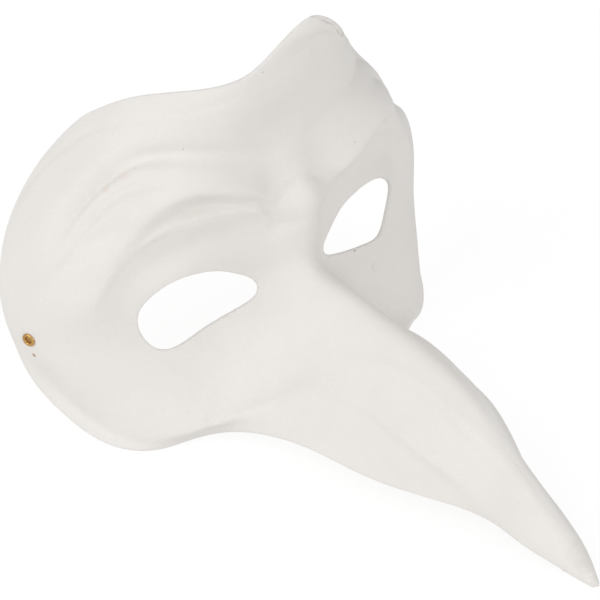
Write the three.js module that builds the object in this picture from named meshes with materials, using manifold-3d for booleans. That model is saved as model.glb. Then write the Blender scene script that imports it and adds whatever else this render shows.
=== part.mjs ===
// A long-nosed Venetian half mask of white moulded paper pulp, open behind, with a
// brass eyelet at each temple. It rests the way it does on a table: on the two low
// points of its cheeks and on the tip of its beak, with the face to the front.
//
// Millimetres, +Z up. The wearer's face would look along -Y, and +X is to the right
// of somebody who looks at the mask. "Forward" below means towards -Y.

import * as THREE from "three";
import { mergeVertices } from "three/addons/utils/BufferGeometryUtils.js";
import Module from "manifold-3d";

// Driving dimensions

const WALL = 1.5; // thickness of the moulded pulp
const DEPTH_SHIFT = 37.28; // moves the middle of the overall depth onto Y = 0
const HEIGHT_SHIFT = 0.2; // lifts the lowest points of the rims onto Z = 0

// The face is lofted over stations that fan out from the ridge line, which runs from
// the peak of the forehead down the nose to the tip of the beak. Each station is one
// curve from the ridge to the rim at the side.
//   ridge     [forward, up] of the middle line
//   rim       [side, forward, up] of the edge
//   nose      [height, half width] of the bump that carries the nose along the middle
//   pinch     how far the front of the section is drawn in to the middle
//   sweep     how early the section turns back, 1 for an ellipse
const STATIONS = [
  { name: "above the peak", ridge: [4, 179], rim: [36, -52, 142], nose: [0, 14], pinch: 0.32, sweep: 1.5 },
  { name: "peak", ridge: [1, 161], rim: [48, -62, 120], nose: [0, 14], pinch: 0.27, sweep: 1.45 },
  { name: "upper forehead", ridge: [-4, 143], rim: [60, -70, 103], nose: [0, 14], pinch: 0.13, sweep: 1.35 },
  { name: "forehead", ridge: [-10, 124], rim: [73, -74, 86], nose: [0, 14], pinch: 0.05, sweep: 1.2 },
  { name: "furrow", ridge: [-13.5, 107], rim: [83.5, -72, 71], nose: [0, 12], pinch: 0, sweep: 1.05 },
  { name: "brow", ridge: [-4, 90], rim: [91, -66.5, 57], nose: [11, 10], pinch: -0.03, sweep: 1 },
  { name: "nose root", ridge: [-1.5, 73], rim: [93.6, -60.5, 45], nose: [11, 12], pinch: -0.1, sweep: 1 },
  { name: "eyes", ridge: [-0.5, 57], rim: [92, -54, 31], nose: [15.5, 12], pinch: -0.13, sweep: 1 },
  { name: "cheekbone", ridge: [17, 54], rim: [87.6, -44, 16], nose: [34, 16], pinch: -0.13, sweep: 1 },
  { name: "cheek", ridge: [32, 53.2], rim: [78.2, -25, 3], nose: [46, 20], pinch: 0, sweep: 1 },
  { name: "low cheek", ridge: [44, 52.4], rim: [63, -10.5, 0.9], nose: [48, 21.5], pinch: 0.08, sweep: 1.05 },
  { name: "beside the beak", ridge: [55, 51.2], rim: [42.3, 1.5, 5], nose: [36, 21], pinch: 0.16, sweep: 1.1 },
  { name: "beak", ridge: [68, 48.8], rim: [31, 34, 9.5], nose: [12, 18], pinch: 0.3, sweep: 1.3 },
  { name: "bend of the beak", ridge: [83, 44], rim: [26, 66, 10.5], nose: [0, 12], pinch: 0.36, sweep: 1.4 },
  { name: "corner of the beak rim", ridge: [100, 33.3], rim: [13.5, 98, 10], nose: [0, 10], pinch: 0.2, sweep: 1.3 },
  { name: "droop of the beak", ridge: [122, 20.2], rim: [10, 118, 7.3], nose: [0, 8], pinch: 0.1, sweep: 1.2 },
  { name: "end of the hollow", ridge: [138.4, 9.6], rim: [6, 136, 3.5], nose: [0, 5], pinch: 0, sweep: 1 },
  { name: "tip", ridge: [148, 1.5], rim: [1.5, 147, -0.2], nose: [0, 2], pinch: 0, sweep: 1 },
];
const LAST_STATION = STATIONS.length - 1;
const HOLLOW_END = 16; // station where the beak turns solid
const TIP_POINT = [148.6, 0.6]; // [forward, up] of the very end of the beak

// The top edge on the wearer's two sides, as [share of the way from the ridge to the
// rim, station]. It was trimmed by hand: the peak drops sooner on the wearer's left.
const RIGHT_TOP_EDGE = [
  [0, 0.95],
  [0.08, 0.93],
  [0.135, 1.05],
  [0.184, 1.34],
  [0.236, 1.8],
  [0.3, 1.97],
  [0.43, 1.84],
  [0.59, 1.55],
  [0.76, 1.37],
  [0.87, 1.43],
  [0.95, 1.7],
  [1, 2.3],
];
const LEFT_TOP_EDGE = [
  [0, 0.95],
  [0.06, 1.13],
  [0.125, 1.3],
  [0.23, 1.52],
  [0.33, 1.95],
  [0.42, 2.1],
  [0.6, 1.8],
  [0.78, 1.5],
  [0.88, 1.48],
  [0.95, 1.72],
  [1, 2.3],
];
const TOP_FADE = 3.2; // stations over which the rows level out below the top edge

// The wearer's two sides, as directions along +X
const RIGHT = -1;
const LEFT = 1;

// Carved rolls and furrows, each a line of [share across, station, height in mm].
// "above" and "below" are how far the swelling reaches on the two sides of its line. A
// feature with a hand is on that side only. The rolls of the brows and their furrows were
// shaped freely, and the left ones are fuller.
const RELIEF = [
  {
    name: "roll of the peak",
    line: [[0, 1.2, 2.5], [0.12, 1.25, 2], [0.22, 1.7, 0.8], [0.3, 2.1, 0]],
    above: 6,
    below: 5,
  },
  {
    name: "roll of the right brow",
    hand: RIGHT,
    line: [
      [0.05, 5.7, 0],
      [0.072, 5.1, 5.5],
      [0.12, 4.7, 9],
      [0.18, 4.46, 10],
      [0.26, 4.22, 9.5],
      [0.36, 4.14, 8.5],
      [0.46, 4.6, 5.2],
      [0.53, 5.35, 2.2],
      [0.58, 6.6, 0],
    ],
    above: 8,
    below: 5.8,
  },
  {
    name: "roll of the left brow",
    hand: LEFT,
    line: [
      [0.05, 5.7, 0],
      [0.075, 5.2, 6.5],
      [0.12, 4.85, 11],
      [0.18, 4.65, 12.5],
      [0.26, 4.4, 12],
      [0.36, 4.3, 10],
      [0.46, 4.7, 5.5],
      [0.53, 5.4, 2.2],
      [0.58, 6.6, 0],
    ],
    above: 9,
    below: 5.2,
  },
  {
    name: "boss of the nose",
    line: [[0, 5, 1.2], [0, 5.4, 2.4], [0, 6, 1.4], [0, 6.6, 0]],
    above: 5,
    below: 5,
  },
  {
    name: "right furrow of the forehead",
    hand: RIGHT,
    line: [
      [0, 4.2, -0.4],
      [0.1, 4.2, -1.2],
      [0.24, 3.82, -2.6],
      [0.38, 3.42, -3.4],
      [0.54, 3.16, -4],
      [0.65, 3.68, -3.6],
      [0.7, 4.15, -2.6],
      [0.75, 4.8, 0],
    ],
    above: 4.2,
    below: 2,
  },
  {
    name: "left furrow of the forehead",
    hand: LEFT,
    line: [[0, 4.2, -0.4], [0.1, 4.12, -1.2], [0.29, 3.64, -2], [0.43, 3.25, -2], [0.55, 3.1, -1.6], [0.66, 3.6, 0]],
    above: 4,
    below: 2.4,
  },
  {
    name: "branch of the furrow",
    line: [[0.34, 3.85, 0], [0.43, 3.82, -1], [0.52, 3.84, -1.8], [0.63, 4.3, -2.2], [0.68, 4.6, -1.6], [0.74, 5, 0]],
    above: 2.8,
    below: 1.6,
  },
  {
    name: "pad of the right lid",
    hand: RIGHT,
    line: [
      [0.06, 5.6, 0],
      [0.1, 5.2, 3],
      [0.16, 4.96, 4.2],
      [0.24, 4.82, 4.4],
      [0.33, 4.78, 3.6],
      [0.4, 4.92, 2.4],
      [0.46, 5.4, 1],
      [0.5, 5.9, 0],
    ],
    above: 2.6,
    below: 9,
  },
  {
    name: "pad of the left lid",
    hand: LEFT,
    line: [[0.07, 5.6, 0], [0.14, 5.02, 1.6], [0.26, 4.86, 1.8], [0.4, 4.95, 1], [0.5, 5.9, 0]],
    above: 2.6,
    below: 8,
  },
  {
    name: "outer brow crest",
    line: [[0.45, 3.65, 0], [0.53, 3.75, 0.8], [0.63, 4.3, 1], [0.72, 5, 0]],
    above: 4,
    below: 4,
  },
  {
    name: "hollow of the eye",
    line: [[0.12, 6, 0], [0.2, 5.5, -1.5], [0.35, 5.45, -2.2], [0.46, 6, -2], [0.5, 6.9, 0]],
    above: 6,
    below: 6,
  },
  {
    name: "valley beside the brow",
    line: [[0.43, 4.45, 0], [0.55, 4.6, -1.1], [0.7, 4.75, -1.3], [0.78, 5.1, 0]],
    above: 3,
    below: 3,
  },
  {
    name: "temple swelling",
    line: [[0.5, 4.95, 0], [0.6, 4.95, 1], [0.7, 5.1, 2], [0.8, 6.1, 0]],
    above: 6,
    below: 6,
  },
  {
    name: "crease along the beak",
    line: [[0.2, 9.4, 0], [0.36, 10.6, 0.8], [0.47, 11.5, 1.3], [0.55, 12.6, 1.6], [0.67, 13.7, 1.4], [0.85, 14.1, 0.5]],
    above: 2.4,
    below: 4,
  },
  {
    name: "hollow of the beak's wing",
    line: [[0.6, 10.9, 0], [0.73, 12.1, -1], [0.85, 13.4, 0]],
    above: 5,
    below: 5,
  },
  {
    name: "hollow above the lip",
    line: [[0.94, 6.9, 0], [0.94, 7.5, -1.6], [0.94, 8.1, -2.8], [0.93, 8.8, -2.8], [0.92, 9.5, -1.8], [0.9, 10.4, 0]],
    above: 2,
    below: 10,
  },
  {
    name: "lip of the lower rim",
    line: [[1, 6.6, 0], [1, 7.4, 1.2], [1, 8.4, 1.6], [1, 9.4, 1.4], [1, 10.4, 1.1], [1, 12, 0.9], [1, 14, 0]],
    above: 2.6,
    below: 2.6,
  },
];
const RELIEF_STEPS = 20; // straight pieces that stand in for a relief line

// Eye holes: their outlines, as [share across, station]. They were cut by hand, so the
// two differ a little, and the one of the right eye sits lower.
const RIGHT_EYE_OUTLINE = [
  [0.098, 7.14],
  [0.145, 6.6],
  [0.21, 6.27],
  [0.3, 6.11],
  [0.375, 6.24],
  [0.425, 6.6],
  [0.42, 7.25],
  [0.384, 7.76],
  [0.32, 7.84],
  [0.24, 7.7],
  [0.14, 7.53],
];
const LEFT_EYE_OUTLINE = [
  [0.11, 7.1],
  [0.125, 6.7],
  [0.155, 6.26],
  [0.21, 6.02],
  [0.285, 5.95],
  [0.345, 6.08],
  [0.393, 6.45],
  [0.388, 7.02],
  [0.35, 7.56],
  [0.27, 7.62],
  [0.16, 7.43],
];
const EYE_STEPS = 36; // straight pieces around the hole
const EYE_PUNCH_REACH = 8; // how far the punch stands out of each face
const EYE_PUNCH_AIM = [0.27, 6.85]; // it goes in square to the face here

// Eyelets
const EYELET_PLACE = [0.88, 6.54]; // share across, station
const EYELET_FLANGE_RADIUS = 2.6;
const EYELET_BORE_RADIUS = 1.2;
const EYELET_BARREL_RADIUS = 1.7;
const EYELET_FLANGE_THICKNESS = 0.5;
const EYELET_GAP = 0.3; // clearance between brass and pulp
const EYELET_SEGMENTS = 20;
const EYELET_PUNCH_LENGTH = 9;

const SIDES = [
  { hand: RIGHT, eyeOutline: RIGHT_EYE_OUTLINE, eyelet: "eyelet_right_temple" },
  { hand: LEFT, eyeOutline: LEFT_EYE_OUTLINE, eyelet: "eyelet_left_temple" },
];

// Fineness of the facets
const COLUMNS = 24; // facets from the ridge to one rim
const COLUMN_CROWDING = 0.4; // 0 spaces the columns evenly, more crowds them at the nose
const TOP_STATION = LEFT_TOP_EDGE[0][1];
const HEAD_ROW_ZONES = [
  { to: 3.6, rows: 8 },
  { to: 5.7, rows: 12 },
  { to: 8.2, rows: 7 },
  { to: 12, rows: 8 },
];
const BEAK_ROWS = 11;
const TIP_ROWS = 3;

// Curves and vectors

/** Natural cubic spline through (knots, values), as a function of the knot variable. */
function naturalSpline(knots, values) {
  const n = knots.length;
  const bend = new Array(n).fill(0);
  const upper = new Array(n).fill(0);
  for (let i = 1; i < n - 1; i++) {
    const left = knots[i] - knots[i - 1];
    const right = knots[i + 1] - knots[i];
    const slopes = (values[i + 1] - values[i]) / right - (values[i] - values[i - 1]) / left;
    const pivot = 2 * (left + right) - left * upper[i - 1];
    upper[i] = right / pivot;
    bend[i] = (6 * slopes - left * bend[i - 1]) / pivot;
  }
  for (let i = n - 2; i > 0; i--) {
    bend[i] -= upper[i] * bend[i + 1];
  }
  return (t) => {
    let i = 0;
    while (i < n - 2 && t > knots[i + 1]) {
      i++;
    }
    const width = knots[i + 1] - knots[i];
    const a = (knots[i + 1] - t) / width;
    const b = (t - knots[i]) / width;
    const curve = ((a ** 3 - a) * bend[i] + (b ** 3 - b) * bend[i + 1]) * (width ** 2 / 6);
    return a * values[i] + b * values[i + 1] + curve;
  };
}

/** Spline through evenly spaced knots 0, 1, 2 and so on. */
function stationSpline(values) {
  return naturalSpline([...values.keys()], values);
}

/** Point of the part's frame from its side, forward and up measures. */
function place(side, forward, up) {
  return new THREE.Vector3(side, -forward, up);
}

const stationCurves = {
  ridgeForward: stationSpline(STATIONS.map((s) => s.ridge[0])),
  ridgeUp: stationSpline(STATIONS.map((s) => s.ridge[1])),
  rimSide: stationSpline(STATIONS.map((s) => s.rim[0])),
  rimForward: stationSpline(STATIONS.map((s) => s.rim[1])),
  rimUp: stationSpline(STATIONS.map((s) => s.rim[2])),
  noseHeight: stationSpline(STATIONS.map((s) => s.nose[0])),
  noseWidth: stationSpline(STATIONS.map((s) => s.nose[1])),
  pinch: stationSpline(STATIONS.map((s) => s.pinch)),
  sweep: stationSpline(STATIONS.map((s) => s.sweep)),
};
const [rightTopEdge, leftTopEdge] = [RIGHT_TOP_EDGE, LEFT_TOP_EDGE].map((edge) =>
  naturalSpline(
    edge.map((p) => p[0]),
    edge.map((p) => p[1]),
  ),
);

// The face as a surface

/** Smooth form without carving, at a share across (-1 to 1) and a station. */
function smoothForm(across, station) {
  const at = (curve) => stationCurves[curve](station);
  const ridge = place(0, at("ridgeForward"), at("ridgeUp"));
  const rimFoot = place(0, at("rimForward"), at("rimUp"));
  const inward = rimFoot.clone().sub(ridge).normalize();
  const core = ridge.addScaledVector(inward, at("noseHeight"));
  const angle = (Math.abs(across) * Math.PI) / 2;
  const cosine = Math.max(0, Math.cos(angle));
  const side = at("rimSide") * Math.sin(angle) * (1 - at("pinch") * cosine ** 2);
  const turn = 1 - cosine ** at("sweep");
  const nose = at("noseHeight") * Math.exp(-((side / at("noseWidth")) ** 2));
  const point = core.lerp(rimFoot, turn).addScaledVector(inward, -nose);
  point.x = side * Math.sign(across);
  return point;
}

/** Outward normal of the smooth form. */
function smoothNormal(across, station) {
  const step = 0.002;
  const inner = Math.sign(across || 1) * Math.max(Math.abs(across), 2 * step);
  const along = smoothForm(Math.min(inner + step, 1), station).sub(smoothForm(Math.max(inner - step, -1), station));
  const lower = Math.min(station + 10 * step, LAST_STATION);
  const down = smoothForm(across, lower).sub(smoothForm(across, station - 10 * step));
  return down.cross(along).normalize();
}

/** The relief lines laid on the smooth form, with the height at each of their points. */
const reliefPaths = RELIEF.map((feature) => {
  const across = stationSpline(feature.line.map((p) => p[0]));
  const station = stationSpline(feature.line.map((p) => p[1]));
  const height = stationSpline(feature.line.map((p) => p[2]));
  const points = [];
  for (let i = 0; i <= RELIEF_STEPS; i++) {
    const t = (i / RELIEF_STEPS) * (feature.line.length - 1);
    const share = THREE.MathUtils.clamp(across(t), 0, 1);
    points.push({ place: smoothForm(share, station(t)), height: height(t) });
  }
  return { ...feature, points };
});

/** Height of the carving at a point of the smooth form's half on +X, for the given hand. */
function reliefHeight(point, normal, hand) {
  let total = 0;
  for (const path of reliefPaths) {
    const mirror = new THREE.Vector3(path.hand === -hand ? -1 : 1, 1, 1);
    const probe = point.clone().multiply(mirror);
    const outward = normal.clone().multiply(mirror);
    let nearest = Infinity;
    let height = 0;
    let rise = 0;
    for (let i = 0; i < RELIEF_STEPS; i++) {
      const start = path.points[i];
      const end = path.points[i + 1];
      const piece = end.place.clone().sub(start.place);
      const offset = probe.clone().sub(start.place);
      const t = THREE.MathUtils.clamp(offset.dot(piece) / piece.lengthSq(), 0, 1);
      offset.addScaledVector(piece, -t);
      if (offset.lengthSq() < nearest) {
        nearest = offset.lengthSq();
        height = THREE.MathUtils.lerp(start.height, end.height, t);
        rise = outward.clone().cross(piece).normalize().dot(offset);
      }
    }
    const upperShare = 0.5 + 0.5 * Math.tanh((2 * rise) / Math.min(path.above, path.below));
    const reach = THREE.MathUtils.lerp(path.below, path.above, upperShare);
    total += height * Math.exp(-nearest / reach ** 2);
  }
  return total;
}

/** Point of the carved front of the mask. */
function frontPoint(across, station) {
  const half = Math.abs(across);
  const point = smoothForm(half, station);
  const normal = smoothNormal(half, station);
  const hand = across < 0 ? RIGHT : LEFT;
  point.addScaledVector(normal, reliefHeight(point, normal, hand));
  point.x *= Math.sign(across);
  return point;
}

// Facets

/** Corners and triangles of one closed body. */
class Body {
  constructor() {
    this.points = [];
    this.spots = [];
    this.triangles = [];
  }

  add(point) {
    this.points.push(point);
    return this.points.length - 1;
  }

  /** Corner on the carved face. */
  addOnFace(across, station) {
    this.spots[this.points.length] = [across, station];
    return this.add(frontPoint(across, station));
  }

  triangle(a, b, c) {
    this.triangles.push([a, b, c]);
  }

  quad(a, b, c, d) {
    this.triangle(a, b, c);
    this.triangle(a, c, d);
  }

  /** Facet of four corners on the face, split along the diagonal that lies nearer to the face. */
  faceQuad(a, b, c, d) {
    const [first, , opposite] = [a, b, c].map((corner) => this.spots[corner]);
    const middle = frontPoint((first[0] + opposite[0]) / 2, (first[1] + opposite[1]) / 2);
    const miss = (p, q) => this.points[p].clone().lerp(this.points[q], 0.5).distanceTo(middle);
    if (miss(a, c) <= miss(b, d)) {
      this.quad(a, b, c, d);
    } else {
      this.quad(b, c, d, a);
    }
  }

  /** Facets between one row and the row below it, which may have half as many columns. */
  strip(upper, lower) {
    if (upper.length === lower.length) {
      for (let i = 0; i + 1 < upper.length; i++) {
        this.faceQuad(upper[i], lower[i], lower[i + 1], upper[i + 1]);
      }
      return;
    }
    for (let i = 0; i + 1 < lower.length; i++) {
      const middle = upper[2 * i + 1];
      this.triangle(upper[2 * i], lower[i], middle);
      this.triangle(middle, lower[i], lower[i + 1]);
      this.triangle(middle, lower[i + 1], upper[2 * i + 2]);
    }
  }

  /** Adds the back of the sheet, and the edge faces except where isJoined holds for both ends. */
  thicken(thickness, isJoined) {
    const front = [...this.triangles];
    const count = this.points.length;
    const normals = this.points.map(() => new THREE.Vector3());
    const edges = new Set();
    for (const [a, b, c] of front) {
      const ab = this.points[b].clone().sub(this.points[a]);
      const ac = this.points[c].clone().sub(this.points[a]);
      const normal = ab.cross(ac);
      for (const corner of [a, b, c]) {
        normals[corner].add(normal);
      }
      edges.add(`${a},${b}`).add(`${b},${c}`).add(`${c},${a}`);
    }
    for (let i = 0; i < count; i++) {
      this.add(this.points[i].clone().addScaledVector(normals[i].normalize(), -thickness));
    }
    for (const [a, b, c] of front) {
      this.triangle(c + count, b + count, a + count);
    }
    for (const edge of edges) {
      const [a, b] = edge.split(",").map(Number);
      if (!edges.has(`${b},${a}`) && !(isJoined(a) && isJoined(b))) {
        this.quad(b, a, a + count, b + count);
      }
    }
    return count;
  }

  geometry() {
    const geometry = new THREE.BufferGeometry();
    const positions = this.points.flatMap((point) => point.toArray());
    geometry.setAttribute("position", new THREE.Float32BufferAttribute(positions, 3));
    geometry.setIndex(this.triangles.flat());
    return geometry;
  }
}

/** Row levels that divide the way from one level to another. */
function rowLevels(from, to, rows) {
  return Array.from({ length: rows }, (_, i) => THREE.MathUtils.lerp(from, to, (i + 1) / rows));
}

/** Shares across from one rim to the other, with the given facets to each side. */
function columnShares(columns) {
  const shares = [];
  for (let i = -columns; i <= columns; i++) {
    const even = i / columns;
    shares.push(even * (1 - COLUMN_CROWDING + COLUMN_CROWDING * Math.abs(even)));
  }
  return shares;
}

/** Station of a row level at one share across: the upper rows follow the top edge. */
function rowStation(level, across) {
  const topEdge = across < 0 ? rightTopEdge : leftTopEdge;
  const fade = 1 - THREE.MathUtils.smoothstep((level - TOP_STATION) / TOP_FADE, 0, 1);
  return level + (topEdge(Math.abs(across)) - TOP_STATION) * fade;
}

/** The shell before its holes are punched, hollow behind and under the beak. */
function moulding() {
  const body = new Body();
  const headShares = columnShares(COLUMNS);
  const beakShares = headShares.filter((_, i) => i % 2 === 0);
  const addRow = (level, shares) => shares.map((across) => body.addOnFace(across, rowStation(level, across)));

  let row = addRow(TOP_STATION, headShares);
  let level = TOP_STATION;
  const addStrip = (nextLevel, shares) => {
    const nextRow = addRow(nextLevel, shares);
    body.strip(row, nextRow);
    row = nextRow;
    level = nextLevel;
  };
  for (const zone of HEAD_ROW_ZONES) {
    rowLevels(level, zone.to, zone.rows).forEach((next) => addStrip(next, headShares));
  }
  rowLevels(level, HOLLOW_END, BEAK_ROWS).forEach((next) => addStrip(next, beakShares));

  const hollowEnd = row;
  const ends = new Set(hollowEnd);
  const back = body.thicken(WALL, (corner) => ends.has(corner));

  // The wall that ends the hollow of the beak
  for (let i = 0; 2 * i + 2 < hollowEnd.length; i++) {
    const left = hollowEnd[i] + back;
    const right = hollowEnd.at(-1 - i) + back;
    const nextLeft = hollowEnd[i + 1] + back;
    const nextRight = hollowEnd.at(-2 - i) + back;
    if (nextLeft === nextRight) {
      body.triangle(left, nextLeft, right);
    } else {
      body.quad(left, nextLeft, nextRight, right);
    }
  }

  // The solid tip with its flat underside
  let underside = [row[0], row[0] + back, row.at(-1) + back, row.at(-1)];
  for (const next of rowLevels(HOLLOW_END, LAST_STATION, TIP_ROWS)) {
    addStrip(next, beakShares);
    for (let i = 0; i + 1 < underside.length; i++) {
      body.triangle(row[0], underside[i], underside[i + 1]);
    }
    body.triangle(row[0], underside.at(-1), row.at(-1));
    underside = [row[0], row.at(-1)];
  }
  const tip = body.add(place(0, ...TIP_POINT));
  for (let i = 0; i + 1 < row.length; i++) {
    body.triangle(row[i], tip, row[i + 1]);
  }
  body.triangle(tip, row[0], row.at(-1));
  return body.geometry();
}

/** Frame on the carved face: its origin lies on the face and its +Z points outward. */
function faceFrame(across, station) {
  const step = 0.02;
  const origin = frontPoint(across, station);
  const along = frontPoint(across + step, station).sub(frontPoint(across - step, station));
  const down = frontPoint(across, station + 5 * step).sub(frontPoint(across, station - 5 * step));
  const outward = down.cross(along).normalize();
  const side = new THREE.Vector3(0, 0, 1).cross(outward).normalize();
  const upward = outward.clone().cross(side);
  return new THREE.Matrix4().makeBasis(side, upward, outward).setPosition(origin);
}

/** Straight punch with the outline of the eye hole on one side of the face. */
function eyePunch(hand, eyeOutline) {
  const [across, station] = EYE_PUNCH_AIM;
  const frame = faceFrame(hand * across, station);
  const toFrame = frame.clone().invert();
  const corners = eyeOutline.map((spot) => frontPoint(hand * spot[0], spot[1]).applyMatrix4(toFrame));
  const rim = new THREE.CatmullRomCurve3(corners, true).getPoints(EYE_STEPS).slice(1);
  const outline = new THREE.Shape(rim.map((point) => new THREE.Vector2(point.x, point.y)));
  const punch = new THREE.ExtrudeGeometry(outline, { depth: 2 * EYE_PUNCH_REACH, bevelEnabled: false });
  return punch.translate(0, 0, -EYE_PUNCH_REACH).applyMatrix4(frame);
}

// Eyelets

/** Closed profile of an eyelet, clinched on both faces of the wall, turned around +Z. */
function eyeletGeometry() {
  const front = EYELET_GAP;
  const back = -WALL - EYELET_GAP;
  const profile = [
    [EYELET_BORE_RADIUS, back - EYELET_FLANGE_THICKNESS],
    [EYELET_FLANGE_RADIUS, back - EYELET_FLANGE_THICKNESS],
    [EYELET_FLANGE_RADIUS, back],
    [EYELET_BARREL_RADIUS, back],
    [EYELET_BARREL_RADIUS, front],
    [EYELET_FLANGE_RADIUS, front],
    [EYELET_FLANGE_RADIUS, front + EYELET_FLANGE_THICKNESS],
    [EYELET_BORE_RADIUS, front + EYELET_FLANGE_THICKNESS],
    [EYELET_BORE_RADIUS, back - EYELET_FLANGE_THICKNESS],
  ];
  const corners = profile.map(([radius, height]) => new THREE.Vector2(radius, height));
  return new THREE.LatheGeometry(corners, EYELET_SEGMENTS).rotateX(Math.PI / 2);
}

/** Straight punch for the hole that an eyelet sits in. */
function eyeletPunch(frame) {
  const radius = EYELET_BARREL_RADIUS + EYELET_GAP;
  const punch = new THREE.CylinderGeometry(radius, radius, EYELET_PUNCH_LENGTH, EYELET_SEGMENTS);
  return punch.rotateX(Math.PI / 2).applyMatrix4(frame);
}

// Solids

const wasm = await Module();
wasm.setup();

/** Closed solid of a geometry, for cutting. */
function solidOf(geometry) {
  const bare = geometry.clone();
  bare.deleteAttribute("normal");
  bare.deleteAttribute("uv");
  const merged = mergeVertices(bare);
  const mesh = new wasm.Mesh({
    numProp: 3,
    vertProperties: new Float32Array(merged.attributes.position.array),
    triVerts: new Uint32Array(merged.index.array),
  });
  return new wasm.Manifold(mesh);
}

/** Geometry of a solid. */
function geometryOf(solid) {
  const mesh = solid.getMesh();
  const geometry = new THREE.BufferGeometry();
  geometry.setAttribute("position", new THREE.Float32BufferAttribute(mesh.vertProperties, 3));
  geometry.setIndex(new THREE.Uint32BufferAttribute(mesh.triVerts, 1));
  return geometry;
}

const paperPulp = new THREE.MeshStandardMaterial({ color: 0xebe8e3, roughness: 0.9, metalness: 0 });
const brass = new THREE.MeshStandardMaterial({ color: 0xc89650, roughness: 0.35, metalness: 1 });
paperPulp.name = "paper_pulp";
brass.name = "brass";

const mask = new THREE.Group();
mask.position.set(0, DEPTH_SHIFT, HEIGHT_SHIFT);

let shell = solidOf(moulding());
for (const { hand, eyeOutline, eyelet: name } of SIDES) {
  const frame = faceFrame(hand * EYELET_PLACE[0], EYELET_PLACE[1]);
  shell = shell.subtract(solidOf(eyeletPunch(frame))).subtract(solidOf(eyePunch(hand, eyeOutline)));

  const eyelet = new THREE.Mesh(eyeletGeometry(), brass.clone());
  eyelet.name = name;
  eyelet.applyMatrix4(frame);
  mask.add(eyelet);
}

const shellMesh = new THREE.Mesh(geometryOf(shell), paperPulp);
shellMesh.name = "mask_shell";
mask.add(shellMesh);

export default mask;
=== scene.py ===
"""A long-nosed Venetian half mask of white moulded paper pulp.

It is hollow behind and has a brass eyelet at each temple. It lies on a pale table on its
two cheeks and on the tip of its beak, with the face to the front. The forms are worked
out in millimetres and put into the scene in metres.
"""

import logging
import math
from dataclasses import dataclass, field
from enum import Enum
from functools import cached_property
from typing import Callable, Sequence

import bpy
import numpy as np
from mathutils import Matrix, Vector, noise

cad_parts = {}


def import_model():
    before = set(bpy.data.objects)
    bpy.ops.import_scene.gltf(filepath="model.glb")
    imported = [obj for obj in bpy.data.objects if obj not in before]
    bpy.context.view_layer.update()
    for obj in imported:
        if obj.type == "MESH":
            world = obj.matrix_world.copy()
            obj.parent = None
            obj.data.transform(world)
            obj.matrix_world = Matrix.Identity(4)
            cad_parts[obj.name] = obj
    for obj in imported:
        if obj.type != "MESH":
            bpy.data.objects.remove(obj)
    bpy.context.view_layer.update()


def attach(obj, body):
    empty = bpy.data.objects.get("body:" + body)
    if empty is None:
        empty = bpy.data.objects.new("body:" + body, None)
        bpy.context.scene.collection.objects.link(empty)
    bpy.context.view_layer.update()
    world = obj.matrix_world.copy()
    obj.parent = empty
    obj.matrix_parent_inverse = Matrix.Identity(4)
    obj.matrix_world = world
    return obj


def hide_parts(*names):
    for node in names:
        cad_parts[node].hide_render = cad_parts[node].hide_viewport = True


LOG = logging.getLogger("venetian_mask")
MM = 0.001
BODY = "root"
PULP_THICKNESS = 1.5

Array = np.ndarray
Colour = tuple[float, float, float]
Spot = tuple[float, float]


class Side(Enum):
    """The wearer's sides of the mask. The value is the direction along +X."""

    RIGHT = -1
    LEFT = 1
    BOTH = 0


# Curves


class Spline:
    """Natural cubic spline through a row of knots."""

    def __init__(self, knots: Sequence[float], values: Sequence[float]) -> None:
        """Fits the spline.

        Args:
            knots: places along the row, rising.
            values: the value at each knot.
        """
        self.knots = np.asarray(knots, float)
        self.values = np.asarray(values, float)
        count = len(self.knots)
        widths = np.diff(self.knots)
        slopes = np.diff(self.values) / widths
        system = np.eye(count)
        bends = np.zeros(count)
        for i in range(1, count - 1):
            system[i, i - 1 : i + 2] = widths[i - 1], 2 * (widths[i - 1] + widths[i]), widths[i]
            bends[i] = 6 * (slopes[i] - slopes[i - 1])
        self.bends = np.linalg.solve(system, bends)

    def __call__(self, t: Array | float) -> Array:
        """Value of the spline.

        Args:
            t: places along the row.

        Returns:
            The value at each place.
        """
        t = np.asarray(t, float)
        i = np.clip(np.searchsorted(self.knots, t) - 1, 0, len(self.knots) - 2)
        width = self.knots[i + 1] - self.knots[i]
        a = (self.knots[i + 1] - t) / width
        b = (t - self.knots[i]) / width
        bend = (a**3 - a) * self.bends[i] + (b**3 - b) * self.bends[i + 1]
        return a * self.values[i] + b * self.values[i + 1] + bend * width**2 / 6


def closed_curve(points: Array, samples: int) -> Array:
    """Smooth closed curve through points.

    Args:
        points: the corners of the outline, one row each.
        samples: how many points the curve gets.

    Returns:
        The points along the curve, one row each, evenly spaced in the corners' own lengths.
    """
    count = len(points)
    looped = np.concatenate([points] * 3 + [points[:1]])
    lengths = np.linalg.norm(np.diff(looped[:, :2], axis=0), axis=1)
    knots = np.concatenate([[0], np.cumsum(np.sqrt(lengths))])
    places = knots[count] + (knots[2 * count] - knots[count]) * np.arange(samples) / samples
    return np.stack([Spline(knots, column)(places) for column in looped.T], axis=1)


def unit(vectors: Array) -> Array:
    """Vectors of length 1 with the directions of the given ones."""
    return vectors / np.maximum(np.linalg.norm(vectors, axis=-1, keepdims=True), 1e-12)


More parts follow.
